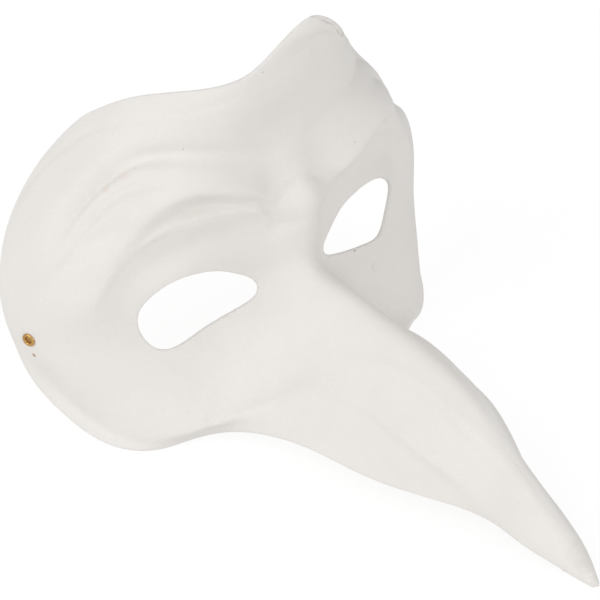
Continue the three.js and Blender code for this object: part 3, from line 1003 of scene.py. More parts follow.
class Effects:
    """Node groups that several finishes share. Each is built once."""

    VECTOR = "NodeSocketVector"
    FLOAT = "NodeSocketFloat"
    BLOTCH_SCALE = 0.1
    # Fibres show where their noise is over a limit, which changes with their amount
    FIBRE_TURNS = ((0.4, 0.2, 0.9), (1.3, 0.7, -0.6), (-0.8, 1.1, 0.3))
    FIBRE_STRETCH = (0.09, 1.0, 1.0)
    FIBRE_LIMIT = 0.76
    LIMIT_PER_AMOUNT = -0.16
    LIMIT_WIDTH = 0.07
    BENDS_IN_A_METRE = 320.0
    BEND_REACH = 0.0022
    # Share of cells without a speck, how much of a speck or spot is full, and a spot's ragged edge
    EMPTY_CELLS = 0.82
    SPECK_CORE = 0.4
    SPOT_CORE = 0.35
    SPOT_RIPPLES = 0.9
    RIPPLE_REACH = 2.0

    @cached_property
    def grain(self) -> bpy.types.NodeTree:
        """Uneven grain: a fine layer, and slow blotches ten times as large."""
        sheet, given, result = new_group(
            "uneven grain",
            [("Position", self.VECTOR, None), ("Grains", self.FLOAT, 1000.0), ("Shift", self.FLOAT, 0.0)],
            [("Grain", self.FLOAT), ("Blotches", self.FLOAT)],
        )
        position = sheet.offset("ADD", given.outputs["Position"], given.outputs["Shift"]).outputs[0]
        fine = sheet.cloud(position, given.outputs["Grains"], detail=4.0, roughness=0.62)
        slow_scale = sheet.calculate("MULTIPLY", given.outputs["Grains"], self.BLOTCH_SCALE)
        slow = sheet.cloud(position, slow_scale, detail=3.0, roughness=0.55)
        sheet.feed(result.inputs["Grain"], sheet.remap(fine, low=0.28, high=0.72))
        sheet.feed(result.inputs["Blotches"], sheet.remap(slow, low=0.3, high=0.7))
        return sheet.tree

    @cached_property
    def fibres(self) -> bpy.types.NodeTree:
        """Short matted fibres that lie in three directions."""
        sheet, given, result = new_group(
            "matted fibres",
            [("Position", self.VECTOR, None), ("Fibres", self.FLOAT, 1800.0), ("Amount", self.FLOAT, 0.5)],
            [("Fibres", self.FLOAT)],
        )
        wander = sheet.add("ShaderNodeTexNoise")
        sheet.feed(wander.inputs["Vector"], given.outputs["Position"])
        wander.inputs["Scale"].default_value = self.BENDS_IN_A_METRE
        drift = sheet.offset("SCALE", wander.outputs["Color"])
        drift.inputs["Scale"].default_value = self.BEND_REACH
        bent = sheet.offset("ADD", given.outputs["Position"], drift.outputs[0]).outputs[0]
        amount = given.outputs["Amount"]
        low = sheet.calculate("MULTIPLY_ADD", amount, self.LIMIT_PER_AMOUNT, self.FIBRE_LIMIT)
        high = sheet.calculate("ADD", low, self.LIMIT_WIDTH)
        layers = []
        for turn in self.FIBRE_TURNS:
            mapping = sheet.add("ShaderNodeMapping")
            sheet.feed(mapping.inputs["Vector"], bent)
            mapping.inputs["Rotation"].default_value = turn
            mapping.inputs["Scale"].default_value = self.FIBRE_STRETCH
            strands = sheet.cloud(mapping.outputs[0], given.outputs["Fibres"], detail=1.0, roughness=0.5)
            layers.append(sheet.remap(strands, low, high))
        both = sheet.calculate("MAXIMUM", layers[0], layers[1])
        sheet.feed(result.inputs["Fibres"], sheet.calculate("MAXIMUM", both, layers[2]))
        return sheet.tree

    @cached_property
    def specks(self) -> bpy.types.NodeTree:
        """Tiny scattered specks, only in some of the cells that they are spread over."""
        sheet, given, result = new_group(
            "scattered specks",
            [("Position", self.VECTOR, None), ("Cells", self.FLOAT, 200.0), ("Size", self.FLOAT, 0.05)],
            [("Specks", self.FLOAT)],
        )
        cells = sheet.add("ShaderNodeTexVoronoi", feature="F1")
        sheet.feed(cells.inputs["Vector"], given.outputs["Position"])
        sheet.feed(cells.inputs["Scale"], given.outputs["Cells"])
        choice = sheet.add("ShaderNodeSeparateColor")
        sheet.feed(choice.inputs[0], cells.outputs["Color"])
        chosen = sheet.calculate("GREATER_THAN", choice.outputs[0], self.EMPTY_CELLS)
        edge = sheet.calculate("MULTIPLY", given.outputs["Size"], self.SPECK_CORE)
        dot = sheet.remap(cells.outputs["Distance"], given.outputs["Size"], edge)
        sheet.feed(result.inputs["Specks"], sheet.calculate("MULTIPLY", dot, chosen))
        return sheet.tree

    @cached_property
    def spot(self) -> bpy.types.NodeTree:
        """One ragged spot around a point."""
        sheet, given, result = new_group(
            "ragged spot",
            [
                ("Position", self.VECTOR, None),
                ("Centre", self.VECTOR, None),
                ("Radius", self.FLOAT, 0.001),
                ("Ragged", self.FLOAT, 0.3),
            ],
            [("Spot", self.FLOAT)],
        )
        away = sheet.offset("DISTANCE", given.outputs["Position"], given.outputs["Centre"]).outputs["Value"]
        share = sheet.calculate("DIVIDE", away, given.outputs["Radius"])
        scale = sheet.calculate("DIVIDE", self.SPOT_RIPPLES, given.outputs["Radius"])
        cloud = sheet.cloud(given.outputs["Position"], scale, detail=3.0, roughness=0.6)
        ripple = sheet.calculate("SUBTRACT", cloud, 0.5)
        wave = sheet.calculate("MULTIPLY", ripple, given.outputs["Ragged"])
        ragged = sheet.calculate("MULTIPLY_ADD", wave, self.RIPPLE_REACH, share)
        sheet.feed(result.inputs["Spot"], sheet.remap(ragged, low=1.0, high=self.SPOT_CORE))
        return sheet.tree


@dataclass(frozen=True)
class Mark:
    """A stain, fleck, speck, grey patch or painted shadow on the pulp, placed by its share across and
    station.

    radius is in millimetres. ragged tells how uneven the mark's edge is, and strength how
    much of the pulp's own colour it covers.
    """

    name: str
    across: float
    station: float
    radius: float
    ragged: float
    strength: float
    colour: Colour


MARKS_AND_PAINTED_SHADOW = (
    Mark("brown fleck below the eyelet", -0.889, 6.95, 1.05, 0.8, 0.75, (0.42, 0.22, 0.11)),
    Mark("speck at the peak", -0.2, 1.94, 0.42, 0.3, 0.55, (0.2, 0.19, 0.17)),
    Mark("speck in the furrow", -0.36, 3.3, 0.42, 0.3, 0.5, (0.25, 0.23, 0.2)),
    Mark("speck above the crest", -0.51, 3.31, 0.4, 0.3, 0.45, (0.3, 0.28, 0.24)),
    Mark("speck on the crest", -0.56, 3.48, 0.42, 0.3, 0.4, (0.3, 0.28, 0.22)),
    Mark("speck on the far brow", 0.18, 4.45, 0.4, 0.3, 0.5, (0.22, 0.2, 0.18)),
    Mark("rusty bloom on the crest", -0.585, 3.6, 2.4, 0.9, 0.14, (0.72, 0.42, 0.2)),
    Mark("rusty bloom above it", -0.535, 3.4, 2.6, 0.9, 0.09, (0.75, 0.4, 0.28)),
    Mark("nick beside the left eye hole", 0.228, 7.62, 0.7, 0.4, 0.7, (0.25, 0.23, 0.2)),
    # The crescent dent is not carved: a painted shadow draws it, cut to a crescent by plain pulp colour laid
    # over its middle
    Mark("painted shadow of the crescent dent", 0.31, 8.25, 2.5, 0.1, 0.28, (0.52, 0.5, 0.47)),
    Mark("floor of the crescent dent", 0.317, 8.27, 2.4, 0.1, 1.0, (0.84, 0.815, 0.79)),
    # Ragged grey patches that make the tip darker
    Mark("grey patch on the ridge of the tip", -0.04, 16.1, 5, 1.4, 0.13, (0.6, 0.57, 0.53)),
    Mark("grey patch beside the tip", -0.2, 16.45, 4, 1.5, 0.13, (0.62, 0.59, 0.55)),
    Mark("grey patch at the end of the tip", -0.1, 16.85, 4, 1.2, 0.16, (0.62, 0.59, 0.55)),
)


@dataclass(frozen=True)
class PulpFinish:
    """White moulded paper pulp, whose tone changes with its grain, blotches and fibres.

    The depths are in millimetres, and grains, ripples, fibres and speck_cells are how many
    of them go into a metre. tone_shares are the shares of the grain, the blotches and the
    fibres in the step from light to shade.
    """

    name: str
    light: Colour
    shade: Colour
    grain_depth: float
    fibre_amount: float
    fibre_depth: float
    wave_depth: float
    marks: tuple[Mark, ...] = ()
    grains: float = 1300.0
    ripples: float = 430.0
    ripple_shift: float = 0.37
    fibres: float = 1900.0
    tone_shares: tuple[float, float, float] = (0.35, 0.45, 0.3)
    speck_cells: float = 150.0
    speck_size: float = 0.055
    speck_strength: float = 0.22
    speck_colour: Colour = (0.33, 0.29, 0.24)
    roughness: tuple[float, float] = (0.84, 0.97)
    specular: float = 0.25

    def material(self, effects: Effects, form: FaceForm) -> bpy.types.Material:
        """Makes the material.

        Args:
            effects: the shared node groups.
            form: the face, which turns the marks' spots into places.

        Returns:
            The material.
        """
        material, sheet = new_material(self.name)
        position = sheet.add("ShaderNodeTexCoord").outputs["Object"]
        coarse = sheet.group(effects.grain, position=position, grains=self.ripples, shift=self.ripple_shift)
        matted = sheet.group(effects.fibres, position=position, fibres=self.fibres, amount=self.fibre_amount)
        specks = sheet.group(effects.specks, position=position, cells=self.speck_cells, size=self.speck_size)
        grain = sheet.group(effects.grain, position=position, grains=self.grains).outputs["Grain"]
        blotches = coarse.outputs["Blotches"]
        fibres = matted.outputs["Fibres"]

        tone = 0.0
        for value, share in zip((grain, blotches, fibres), self.tone_shares):
            tone = sheet.calculate("MULTIPLY_ADD", value, share, tone)
        colour = sheet.blend(tone, (*self.light, 1), (*self.shade, 1))
        faint = sheet.calculate("MULTIPLY", specks.outputs["Specks"], self.speck_strength)
        colour = sheet.blend(faint, colour, (*self.speck_colour, 1))
        colour = self.marked(sheet, effects, form, position, colour)

        shader = sheet.principled(colour, sheet.remap(grain, 0.0, 1.0, *self.roughness))
        shader.inputs["Specular IOR Level"].default_value = self.specular
        layers = ((blotches, self.wave_depth), (grain, self.grain_depth), (fibres, self.fibre_depth))
        sheet.feed(shader.inputs["Normal"], sheet.bumps(layers))
        return material

    def marked(
        self,
        sheet: NodeSheet,
        effects: Effects,
        form: FaceForm,
        position: bpy.types.NodeSocket,
        colour: bpy.types.NodeSocket,
    ) -> bpy.types.NodeSocket:
        """Lays the marks, with the painted shadow of the dent among them, over the pulp's colour.

        Args:
            sheet: the material's sheet.
            effects: the shared node groups.
            form: the face, which turns the marks' spots into places.
            position: where the colour is read.
            colour: the colour without marks.

        Returns:
            The colour with them.
        """
        for mark in self.marks:
            centre = form.carved(np.array([mark.across]), np.array([mark.station]))[0] * MM
            spot = sheet.group(
                effects.spot,
                position=position,
                centre=tuple(centre),
                radius=mark.radius * MM,
                ragged=mark.ragged,
            )
            share = sheet.calculate("MULTIPLY", spot.outputs["Spot"], mark.strength)
            colour = sheet.blend(share, colour, (*mark.colour, 1))
        return colour


PULP_FACE = PulpFinish(
    name="paper_pulp_face",
    light=(0.876, 0.851, 0.818),
    shade=(0.826, 0.801, 0.768),
    grain_depth=0.035,
    fibre_amount=0.35,
    fibre_depth=0.02,
    wave_depth=0.05,
    marks=MARKS_AND_PAINTED_SHADOW,
)
PULP_INSIDE = PulpFinish(
    name="paper_pulp_inside",
    light=(0.82, 0.79, 0.755),
    shade=(0.73, 0.7, 0.66),
    grain_depth=0.09,
    fibre_amount=0.8,
    fibre_depth=0.05,
    wave_depth=0.16,
)
PULP_EDGE = PulpFinish(
    name="paper_pulp_cut_edge",
    light=(0.876, 0.851, 0.818),
    shade=(0.8, 0.775, 0.745),
    grain_depth=0.07,
    fibre_amount=0.7,
    fibre_depth=0.04,
    wave_depth=0.05,
)


@dataclass(frozen=True)
class BrassFinish:
    """Thin pressed brass with blotches of tarnish and fine scratches.

    grains and scratches are how many of them go into a metre, and scratch_depth is in
    millimetres. tone_shares are the shares of the blotches and the grain in the step from
    bright to tarnish.
    """

    name: str = "eyelet_brass"
    bright: Colour = (0.72, 0.45, 0.16)
    tarnish: Colour = (0.42, 0.22, 0.07)
    grains: float = 2600.0
    grain_shift: float = 0.11
    tone_shares: tuple[float, float] = (0.45, 0.25)
    roughness: tuple[float, float] = (0.24, 0.46)
    scratches: float = 5200.0
    scratch_amount: float = 0.6
    scratch_depth: float = 0.012

    def material(self, effects: Effects) -> bpy.types.Material:
        """Makes the material.

        Args:
            effects: the shared node groups.

        Returns:
            The material.
        """
        material, sheet = new_material(self.name)
        position = sheet.add("ShaderNodeTexCoord").outputs["Object"]
        cast = sheet.group(effects.grain, position=position, grains=self.grains, shift=self.grain_shift)
        scratched = sheet.group(
            effects.fibres, position=position, fibres=self.scratches, amount=self.scratch_amount
        )
        dull = 0.0
        for effect, share in zip(("Blotches", "Grain"), self.tone_shares):
            dull = sheet.calculate("MULTIPLY_ADD", cast.outputs[effect], share, dull)
        colour = sheet.blend(dull, (*self.bright, 1), (*self.tarnish, 1))
        shader = sheet.principled(colour, sheet.remap(cast.outputs["Blotches"], 0.0, 1.0, *self.roughness))
        shader.inputs["Metallic"].default_value = 1.0
        bumps = sheet.bumps([(scratched.outputs["Fibres"], self.scratch_depth)])
        sheet.feed(shader.inputs["Normal"], bumps)
        return material


@dataclass(frozen=True)
class TableFinish:
    """Plain white table. It glows, so that it stays white and its shadows stay light.

    grain_shade is how bright the colour is where the grain is darkest.
    """

    name: str = "white_table"
    colour: Colour = (0.2, 0.2, 0.2)
    glow_seen: float = 0.85
    glow_given: float = 0.59
    grains: float = 300.0
    grain_shift: float = 0.5
    grain_shade: float = 0.97
    roughness: float = 0.95
    specular: float = 0.1

    def material(self, effects: Effects) -> bpy.types.Material:
        """Makes the material.

        Args:
            effects: the shared node groups.

        Returns:
            The material.
        """
        material, sheet = new_material(self.name)
        position = sheet.add("ShaderNodeTexCoord").outputs["Object"]
        grain = sheet.group(effects.grain, position=position, grains=self.grains, shift=self.grain_shift)
        low = tuple(self.grain_shade * value for value in self.colour)
        colour = sheet.blend(grain.outputs["Grain"], (*self.colour, 1), (*low, 1))
        shader = sheet.principled(colour, self.roughness)
        shader.inputs["Specular IOR Level"].default_value = self.specular
        shader.inputs["Emission Color"].default_value = (1, 1, 1, 1)
        glow = sheet.seen_or_given(self.glow_seen, self.glow_given)
        sheet.feed(shader.inputs["Emission Strength"], glow)
        return material


# The shell


@dataclass(frozen=True)
class Hole:
    """A hole through the shell: its outline, flat and as spots of the face."""

    plane: FacePlane
    outline: Array
    spots: Array

    @staticmethod
    def through(form: FaceForm, plane: FacePlane, outline: Array, spots: Array, rounds: int = 5) -> "Hole":
        """Finds the spots of the face that lie on a flat outline.

        Args:
            form: the face.
            plane: the plane that the outline lies in.
            outline: flat points of the outline.
            spots: first guess of the (across, station) of each point.
            rounds: how often the guess is mended.

        Returns:
            The hole.
        """
        spots = np.array(spots, float)
        share_step, station_step = 0.001, 0.01
        for _ in range(rounds):
            here = plane.flatten(form.carved(spots[:, 0], spots[:, 1]))
            beside = plane.flatten(form.carved(spots[:, 0] + share_step, spots[:, 1]))
            below = plane.flatten(form.carved(spots[:, 0], spots[:, 1] + station_step))
            slopes = np.stack([(beside - here) / share_step, (below - here) / station_step], axis=-1)
            spots += np.linalg.solve(slopes, (outline - here)[..., None])[..., 0]
        return Hole(plane, outline, spots)

    @staticmethod
    def eye(form: FaceForm, side: Side, corners: Sequence[Spot], samples: int = 480) -> "Hole":
        """Eye hole of one side.

        Args:
            form: the face.
            side: the side that the hole is on.
            corners: the corners of its outline as (share across, station).
            samples: how many points the outline gets.

        Returns:
            The hole.
        """
        plane = form.plane(side.value * EYE_MIDDLE[0], EYE_MIDDLE[1])
        spots = np.array(corners) * (side.value, 1)
        flat = plane.flatten(form.carved(spots[:, 0], spots[:, 1]))
        curve = closed_curve(np.concatenate([flat, spots], axis=1), samples)
        return Hole.through(form, plane, curve[:, :2], curve[:, 2:])

    @staticmethod
    def round(form: FaceForm, side: Side, spot: Spot, radius: float, samples: int = 96) -> "Hole":
        """Round hole.

        Args:
            form: the face.
            side: the side that the hole is on.
            spot: its middle as (share across, station).
            radius: its radius in millimetres.
            samples: how many points the outline gets.

        Returns:
            The hole.
        """
        plane = form.plane(side.value * spot[0], spot[1])
        turn = 2 * math.pi * np.arange(samples) / samples
        outline = radius * np.stack([np.cos(turn), np.sin(turn)], axis=1)
        guess = np.tile([side.value * spot[0], spot[1]], (samples, 1))
        return Hole.through(form, plane, outline, guess)


@dataclass(frozen=True)
class RowZone:
    """A number of rows of facets that end at a row level."""

    to: float
    rows: int


@dataclass
class MaskShell:
    """The moulded pulp: a sheet with two eye holes, two eyelet holes and a solid tip.

    It starts as a grid of facets over the face, whose corners are moved onto the outlines of
    the holes. Lengths are in millimetres and blurs in cells of the grid.
    """

    form: FaceForm
    holes: Sequence[Hole]
    # The sheet and the rounding of its cut edges
    wall: float = PULP_THICKNESS
    rim_round: float = 0.6
    rim_steps: int = 5
    rim_roundness: float = 0.7
    # The grid, with so many columns on each side of the ridge, crowded towards it
    columns: int = 84
    column_crowding: float = 0.4
    zones: tuple[RowZone, ...] = (
        RowZone(3.6, 42),
        RowZone(5.7, 70),
        RowZone(8.2, 46),
        RowZone(12, 48),
        RowZone(16, 36),
    )
    row_blur: float = 4.0
    # How far from a hole its facets are looked for, and how often their corners settle
    hole_reach: float = 45.0
    hole_depth: float = 20.0
    grid_rounds: int = 40
    loop_rounds: int = 30
    # The wall that ends the beak's hollow, and the tip with its point as (forward, up)
    wall_end_rows: int = 4
    wall_end_depth: float = 2.5
    tip_rows: int = 10
    tip_point: tuple[float, float] = (148.6, 0.6)
    # The softness of the relief and of the back
    carving_blur: float = 1.6
    back_blur: float = 2.0
    inward_blur: float = 1.5
    # The unevenness of a hand-pressed sheet, and how many times finer and how high its small waves are
    unevenness: float = 0.1
    unevenness_size: float = 9.0
    finer_waves: tuple[float, float] = (2.3, 0.4)
    back_shift: float = 50.0

    @cached_property
    def levels(self) -> Array:
        """Row levels from the top edge down to the tip."""
        levels = [np.array([self.form.top_station])]
        for zone in self.zones:
            levels.append(np.linspace(levels[-1][-1], zone.to, zone.rows + 1)[1:])
        levels = np.concatenate(levels)
        hollow_end = levels[-1]
        levels = soften(levels[:, None], self.row_blur, 0)[:, 0]
        levels[0], levels[-1] = self.form.top_station, hollow_end
        tip = np.linspace(hollow_end, len(self.form.stations) - 1, self.tip_rows + 1)[1:]
        return np.concatenate([levels, tip])

    @property
    def last_hollow_row(self) -> int:
        """Number of the row where the beak turns solid."""
        return len(self.levels) - 1 - self.tip_rows

    def spread_spots(self) -> Array:
        """Spreads the corners over the face.

        Returns:
            The spots (share across, station) of the regular grid.
        """
        even = np.linspace(-1, 1, 2 * self.columns + 1)
        shares = even * (1 - self.column_crowding + self.column_crowding * np.abs(even))
        across, level = np.meshgrid(shares, self.levels)
        return np.stack([across, self.form.row_station(level, across)], axis=-1)

    def fit_holes(self, spots: Array) -> tuple[Array, Array, list[Array]]:
        """Cuts the holes out of the grid and moves the corners around them onto their outlines.

        Args:
            spots: the spots of the grid.

        Returns:
            The moved spots, which facets are kept, and the corners around each hole in order.
        """
        rows, columns = spots.shape[:2]
        numbers = np.arange(rows * columns).reshape(rows, columns)
        points = self.form.smooth(spots[..., 0], spots[..., 1])
        centres = (points[:-1, :-1] + points[1:, :-1] + points[1:, 1:] + points[:-1, 1:]) / 4
        kept = np.ones(centres.shape[:2], bool)
        moves = np.zeros_like(spots)
        held = np.zeros(spots.shape[:2], bool)
        loops = []
        for hole in self.holes:
            away = centres - hole.plane.origin
            near = np.linalg.norm(away, axis=-1) < self.hole_reach
            near &= np.abs(away @ hole.plane.outward) < self.hole_depth
            flat = hole.plane.flatten(centres)
            cut = np.zeros_like(kept)
            cut[near] = is_inside(flat[near], hole.outline)
            loop = corner_order(self.hole_edges(cut, numbers))
            row, column = np.unravel_index(loop, numbers.shape)
            target = self.fit_loop(hole, hole.plane.flatten(points[row, column]))
            moves[row, column] = target - spots[row, column]
            held[row, column] = True
            kept &= ~cut
            loops.append(loop)
        for _ in range(self.grid_rounds):
            spread = moves.copy()
            spread[1:-1, 1:-1] = (moves[:-2, 1:-1] + moves[2:, 1:-1] + moves[1:-1, :-2] + moves[1:-1, 2:]) / 4
            moves = np.where(held[..., None], moves, spread)
        return spots + moves, kept, loops

    @staticmethod
    def hole_edges(cut: Array, numbers: Array) -> Array:
        """Edges between the kept facets and the cut ones, with the kept ones on their left.

        Args:
            cut: which facets are cut.
            numbers: the corner numbers of the grid.

        Returns:
            The edges as (from, to) rows.
        """
        edges = []
        beside = cut[:, :-1] != cut[:, 1:]
        for row, column in zip(*np.nonzero(beside)):
            pair = [numbers[row, column + 1], numbers[row + 1, column + 1]]
            edges.append(pair if cut[row, column] else pair[::-1])
        above = cut[:-1] != cut[1:]
        for row, column in zip(*np.nonzero(above)):
            pair = [numbers[row + 1, column + 1], numbers[row + 1, column]]
            edges.append(pair if cut[row, column] else pair[::-1])
        return np.array(edges)

    def fit_loop(self, hole: Hole, flat: Array) -> Array:
        """Spreads the corners of a loop along the outline of its hole.

        Args:
            hole: the hole.
            flat: flat places of the corners, in order.

        Returns:
            The new spots of the corners.
        """
        count = len(hole.outline)
        away = np.linalg.norm(flat[:, None] - hole.outline[None], axis=-1)
        place = np.argmin(away, axis=1).astype(float)
        steps = (np.diff(place, append=place[0]) + count / 2) % count - count / 2
        turn = 1 if steps.sum() > 0 else -1
        place = place[0] + np.concatenate([[0], np.cumsum(steps)[:-1]])
        for _ in range(self.loop_rounds):
            before = np.roll(place, 1)
            before[0] -= turn * count
            after = np.roll(place, -1)
            after[-1] += turn * count
            place = 0.5 * place + 0.25 * (before + after)
        low = np.floor(place).astype(int)
        share = (place - low)[:, None]
        return hole.spots[low % count] * (1 - share) + hole.spots[(low + 1) % count] * share

    def front_and_back(self, spots: Array) -> tuple[Array, Array]:
        """Places of the front and of the back of the sheet.

        Args:
            spots: the spots of the grid.

        Returns:
            Two grids of points, in millimetres.
        """
        across, station = spots[..., 0], spots[..., 1]
        half = np.abs(across)
        base = self.form.smooth(half, station)
        normal = self.form.smooth_normal(half, station)
        broad = self.form.relief(base, normal, across, self.form.broad)
        fine = self.form.relief(base, normal, across, self.form.fine)
        broad = soften(broad, self.carving_blur, self.carving_blur)
        mirror = np.where(across < 0, -1.0, 1.0)
        base[..., 0] *= mirror
        normal[..., 0] *= mirror
        front = base + normal * (broad + fine + self.hand_waves(base, 0.0))[..., None]
        soft = soften(broad + fine, self.back_blur, self.back_blur)
        back = base + normal * (soft + self.hand_waves(base, self.back_shift))[..., None]
        inward = -soften(self.grid_normals(back), self.inward_blur, self.inward_blur)
        return front, back + unit(inward) * self.wall

    def hand_waves(self, points: Array, shift: float) -> Array:
        """Slight unevenness of a hand-pressed sheet.

        Args:
            points: places of the sheet.
            shift: moves the pattern, so that front and back differ.

        Returns:
            The height at each place, in millimetres.
        """
        finer, height = self.finer_waves
        flat = points.reshape(-1, 3) / self.unevenness_size + shift
        values = [noise.noise(Vector(p)) + height * noise.noise(Vector(finer * p)) for p in flat]
        return self.unevenness * np.array(values).reshape(points.shape[:-1])

    @staticmethod
    def grid_normals(points: Array) -> Array:
        """Outward normals of a grid of points."""
        return unit(np.cross(np.gradient(points, axis=0), np.gradient(points, axis=1)))

    def build(self, materials: Sequence[bpy.types.Material]) -> bpy.types.Object:
        """Makes the shell.

        Args:
            materials: the finishes of the face, of the inside and of the cut edges.

        Returns:
            The shell.
        """
        face, inside, edge = range(3)
        spots, kept, loops = self.fit_holes(self.spread_spots())
        front, back = self.front_and_back(spots)
        normals = self.grid_normals(front)
        last = self.last_hollow_row
        columns = spots.shape[1]
        numbers = np.arange(spots.shape[0] * columns).reshape(spots.shape[:2])
        rim = np.concatenate([numbers[last::-1, -1], numbers[0, -2::-1], numbers[1 : last + 1, 0]])

        edges = [(rim, False)] + [(loop, True) for loop in loops]
        beads = [self.round_edge(front, back, normals, loop, closed) for loop, closed in edges]
        parts = MeshParts()
        front_numbers = parts.add_corners(front)
        back_numbers = parts.add_corners(back)
        self.add_sheet(parts, front_numbers, kept, face, flip=False)
        self.add_sheet(parts, back_numbers[: last + 1], kept[:last], inside, flip=True)

        rim_rows = []
        for (loop, closed), bead in zip(edges, beads):
            chain = [front_numbers.ravel()[loop], *parts.add_corners(bead), back_numbers.ravel()[loop]]
            rim_rows.append(chain)
            for first, second in zip(chain, chain[1:]):
                if closed:
                    first, second = np.append(first, first[0]), np.append(second, second[0])
                faces = np.stack([first[1:], first[:-1], second[:-1], second[1:]], axis=-1)
                parts.add_faces(faces, edge)

        self.add_tip(parts, front, front_numbers, back, back_numbers, rim_rows[0], (face, inside))
        return parts.build("mask_shell_pulp", materials, crease=55)

    def round_edge(self, front: Array, back: Array, normals: Array, loop: Array, closed: bool) -> Array:
        """Pulls the sheet's edge in a little and gives it a rounded bead.

        Args:
            front: points of the front, changed in place.
            back: points of the back, changed in place.
            normals: normals of the front.
            loop: numbers of the corners along the edge, with the sheet on their left.
            closed: whether the edge runs around a hole.

        Returns:
            The rows of points of the bead, from front to back.
        """
        flat_front = front.reshape(-1, 3)
        flat_back = back.reshape(-1, 3)
        points = flat_front[loop]
        if closed:
            tangent = np.roll(points, -1, axis=0) - np.roll(points, 1, axis=0)
        else:
            tangent = np.gradient(points, axis=0)
        outward = unit(np.cross(unit(tangent), normals.reshape(-1, 3)[loop]))
        flat_front[loop] -= outward * self.rim_round
        flat_back[loop] -= outward * self.rim_round
        middle = (flat_front[loop] + flat_back[loop]) / 2
        reach = (flat_front[loop] - flat_back[loop]) / 2
        turns = math.pi * np.arange(1, self.rim_steps + 1) / (self.rim_steps + 1)
        rows = []
        for turn in turns:
            along = math.copysign(abs(math.cos(turn)) ** self.rim_roundness, math.cos(turn))
            out = math.sin(turn) ** self.rim_roundness
            rows.append(middle + reach * along + outward * self.rim_round * out)
        return np.stack(rows)

    @staticmethod
    def add_sheet(parts: MeshParts, numbers: Array, kept: Array, finish: int, flip: bool) -> None:
        """Adds the kept facets of a grid of corners.

        Args:
            parts: the mesh that is being made.
            numbers: the corner numbers of the grid.
            kept: which facets are kept.
            finish: the number of their finish.
            flip: whether they face the other way.
        """
        corners = (numbers[:-1, :-1], numbers[1:, :-1], numbers[1:, 1:], numbers[:-1, 1:])
        faces = np.stack([corner[kept] for corner in corners], axis=-1)
        parts.add_faces(faces[:, ::-1] if flip else faces, finish)

    def add_tip(
        self,
        parts: MeshParts,
        front: Array,
        front_numbers: Array,
        back: Array,
        back_numbers: Array,
        rim_rows: Sequence[Array],
        finishes: tuple[int, int],
    ) -> None:
        """Closes the hollow of the beak and makes the underside of its solid tip.

        Args:
            parts: the mesh that is being made.
            front: points of the front.
            front_numbers: their corner numbers.
            back: points of the back.
            back_numbers: their corner numbers.
            rim_rows: corner numbers across the outer rim, from front to back.
            finishes: the numbers of the finishes of the face and of the inside.
        """
        face, inside = finishes
        last = self.last_hollow_row
        arch = back[last]
        ends = arch[[0, -1]]
        share = np.linspace(0, 1, arch.shape[0])[:, None]
        base = ends[0] + (ends[1] - ends[0]) * share
        rows = [back_numbers[last]]
        for i in range(1, self.wall_end_rows + 1):
            t = i / self.wall_end_rows
            points = arch + (base - arch) * t
            points[:, 1] -= self.wall_end_depth * math.sin(math.pi * t) * np.sin(math.pi * share[:, 0])
            row = parts.add_corners(points)
            row[0], row[-1] = rows[0][0], rows[0][-1]
            rows.append(row)
        for upper, lower in zip(rows, rows[1:]):
            faces = np.stack([upper[:-1], upper[1:], lower[1:], lower[:-1]], axis=-1)
            parts.add_faces(faces[1:-1], inside)
            parts.add_faces(faces[:1, 1:] if lower[0] == upper[0] else faces[:1], inside)
            parts.add_faces(faces[-1:, [0, 1, 3]] if lower[-1] == upper[-1] else faces[-1:], inside)

        left = [row[-1] for row in rim_rows]
        right = [row[0] for row in rim_rows]
        chain = np.array(left + rows[-1][1:-1].tolist() + right[::-1])
        spread = np.linspace(0, 1, len(chain))[:, None]
        for i in range(last + 1, front.shape[0]):
            start, end = front[i, 0], front[i, -1]
            following = parts.add_corners(start + (end - start) * spread)
            following[0], following[-1] = front_numbers[i, 0], front_numbers[i, -1]
            parts.add_strip(following, chain, face)
            chain = following
        tip = parts.add_corners(self.form.middle_point(*self.tip_point)[None])[0]
        row = front_numbers[-1]
        parts.add_faces([(row[i], tip, row[i + 1]) for i in range(len(row) - 1)], face)
        parts.add_faces([(tip, chain[i], chain[i + 1]) for i in range(len(chain) - 1)], face)


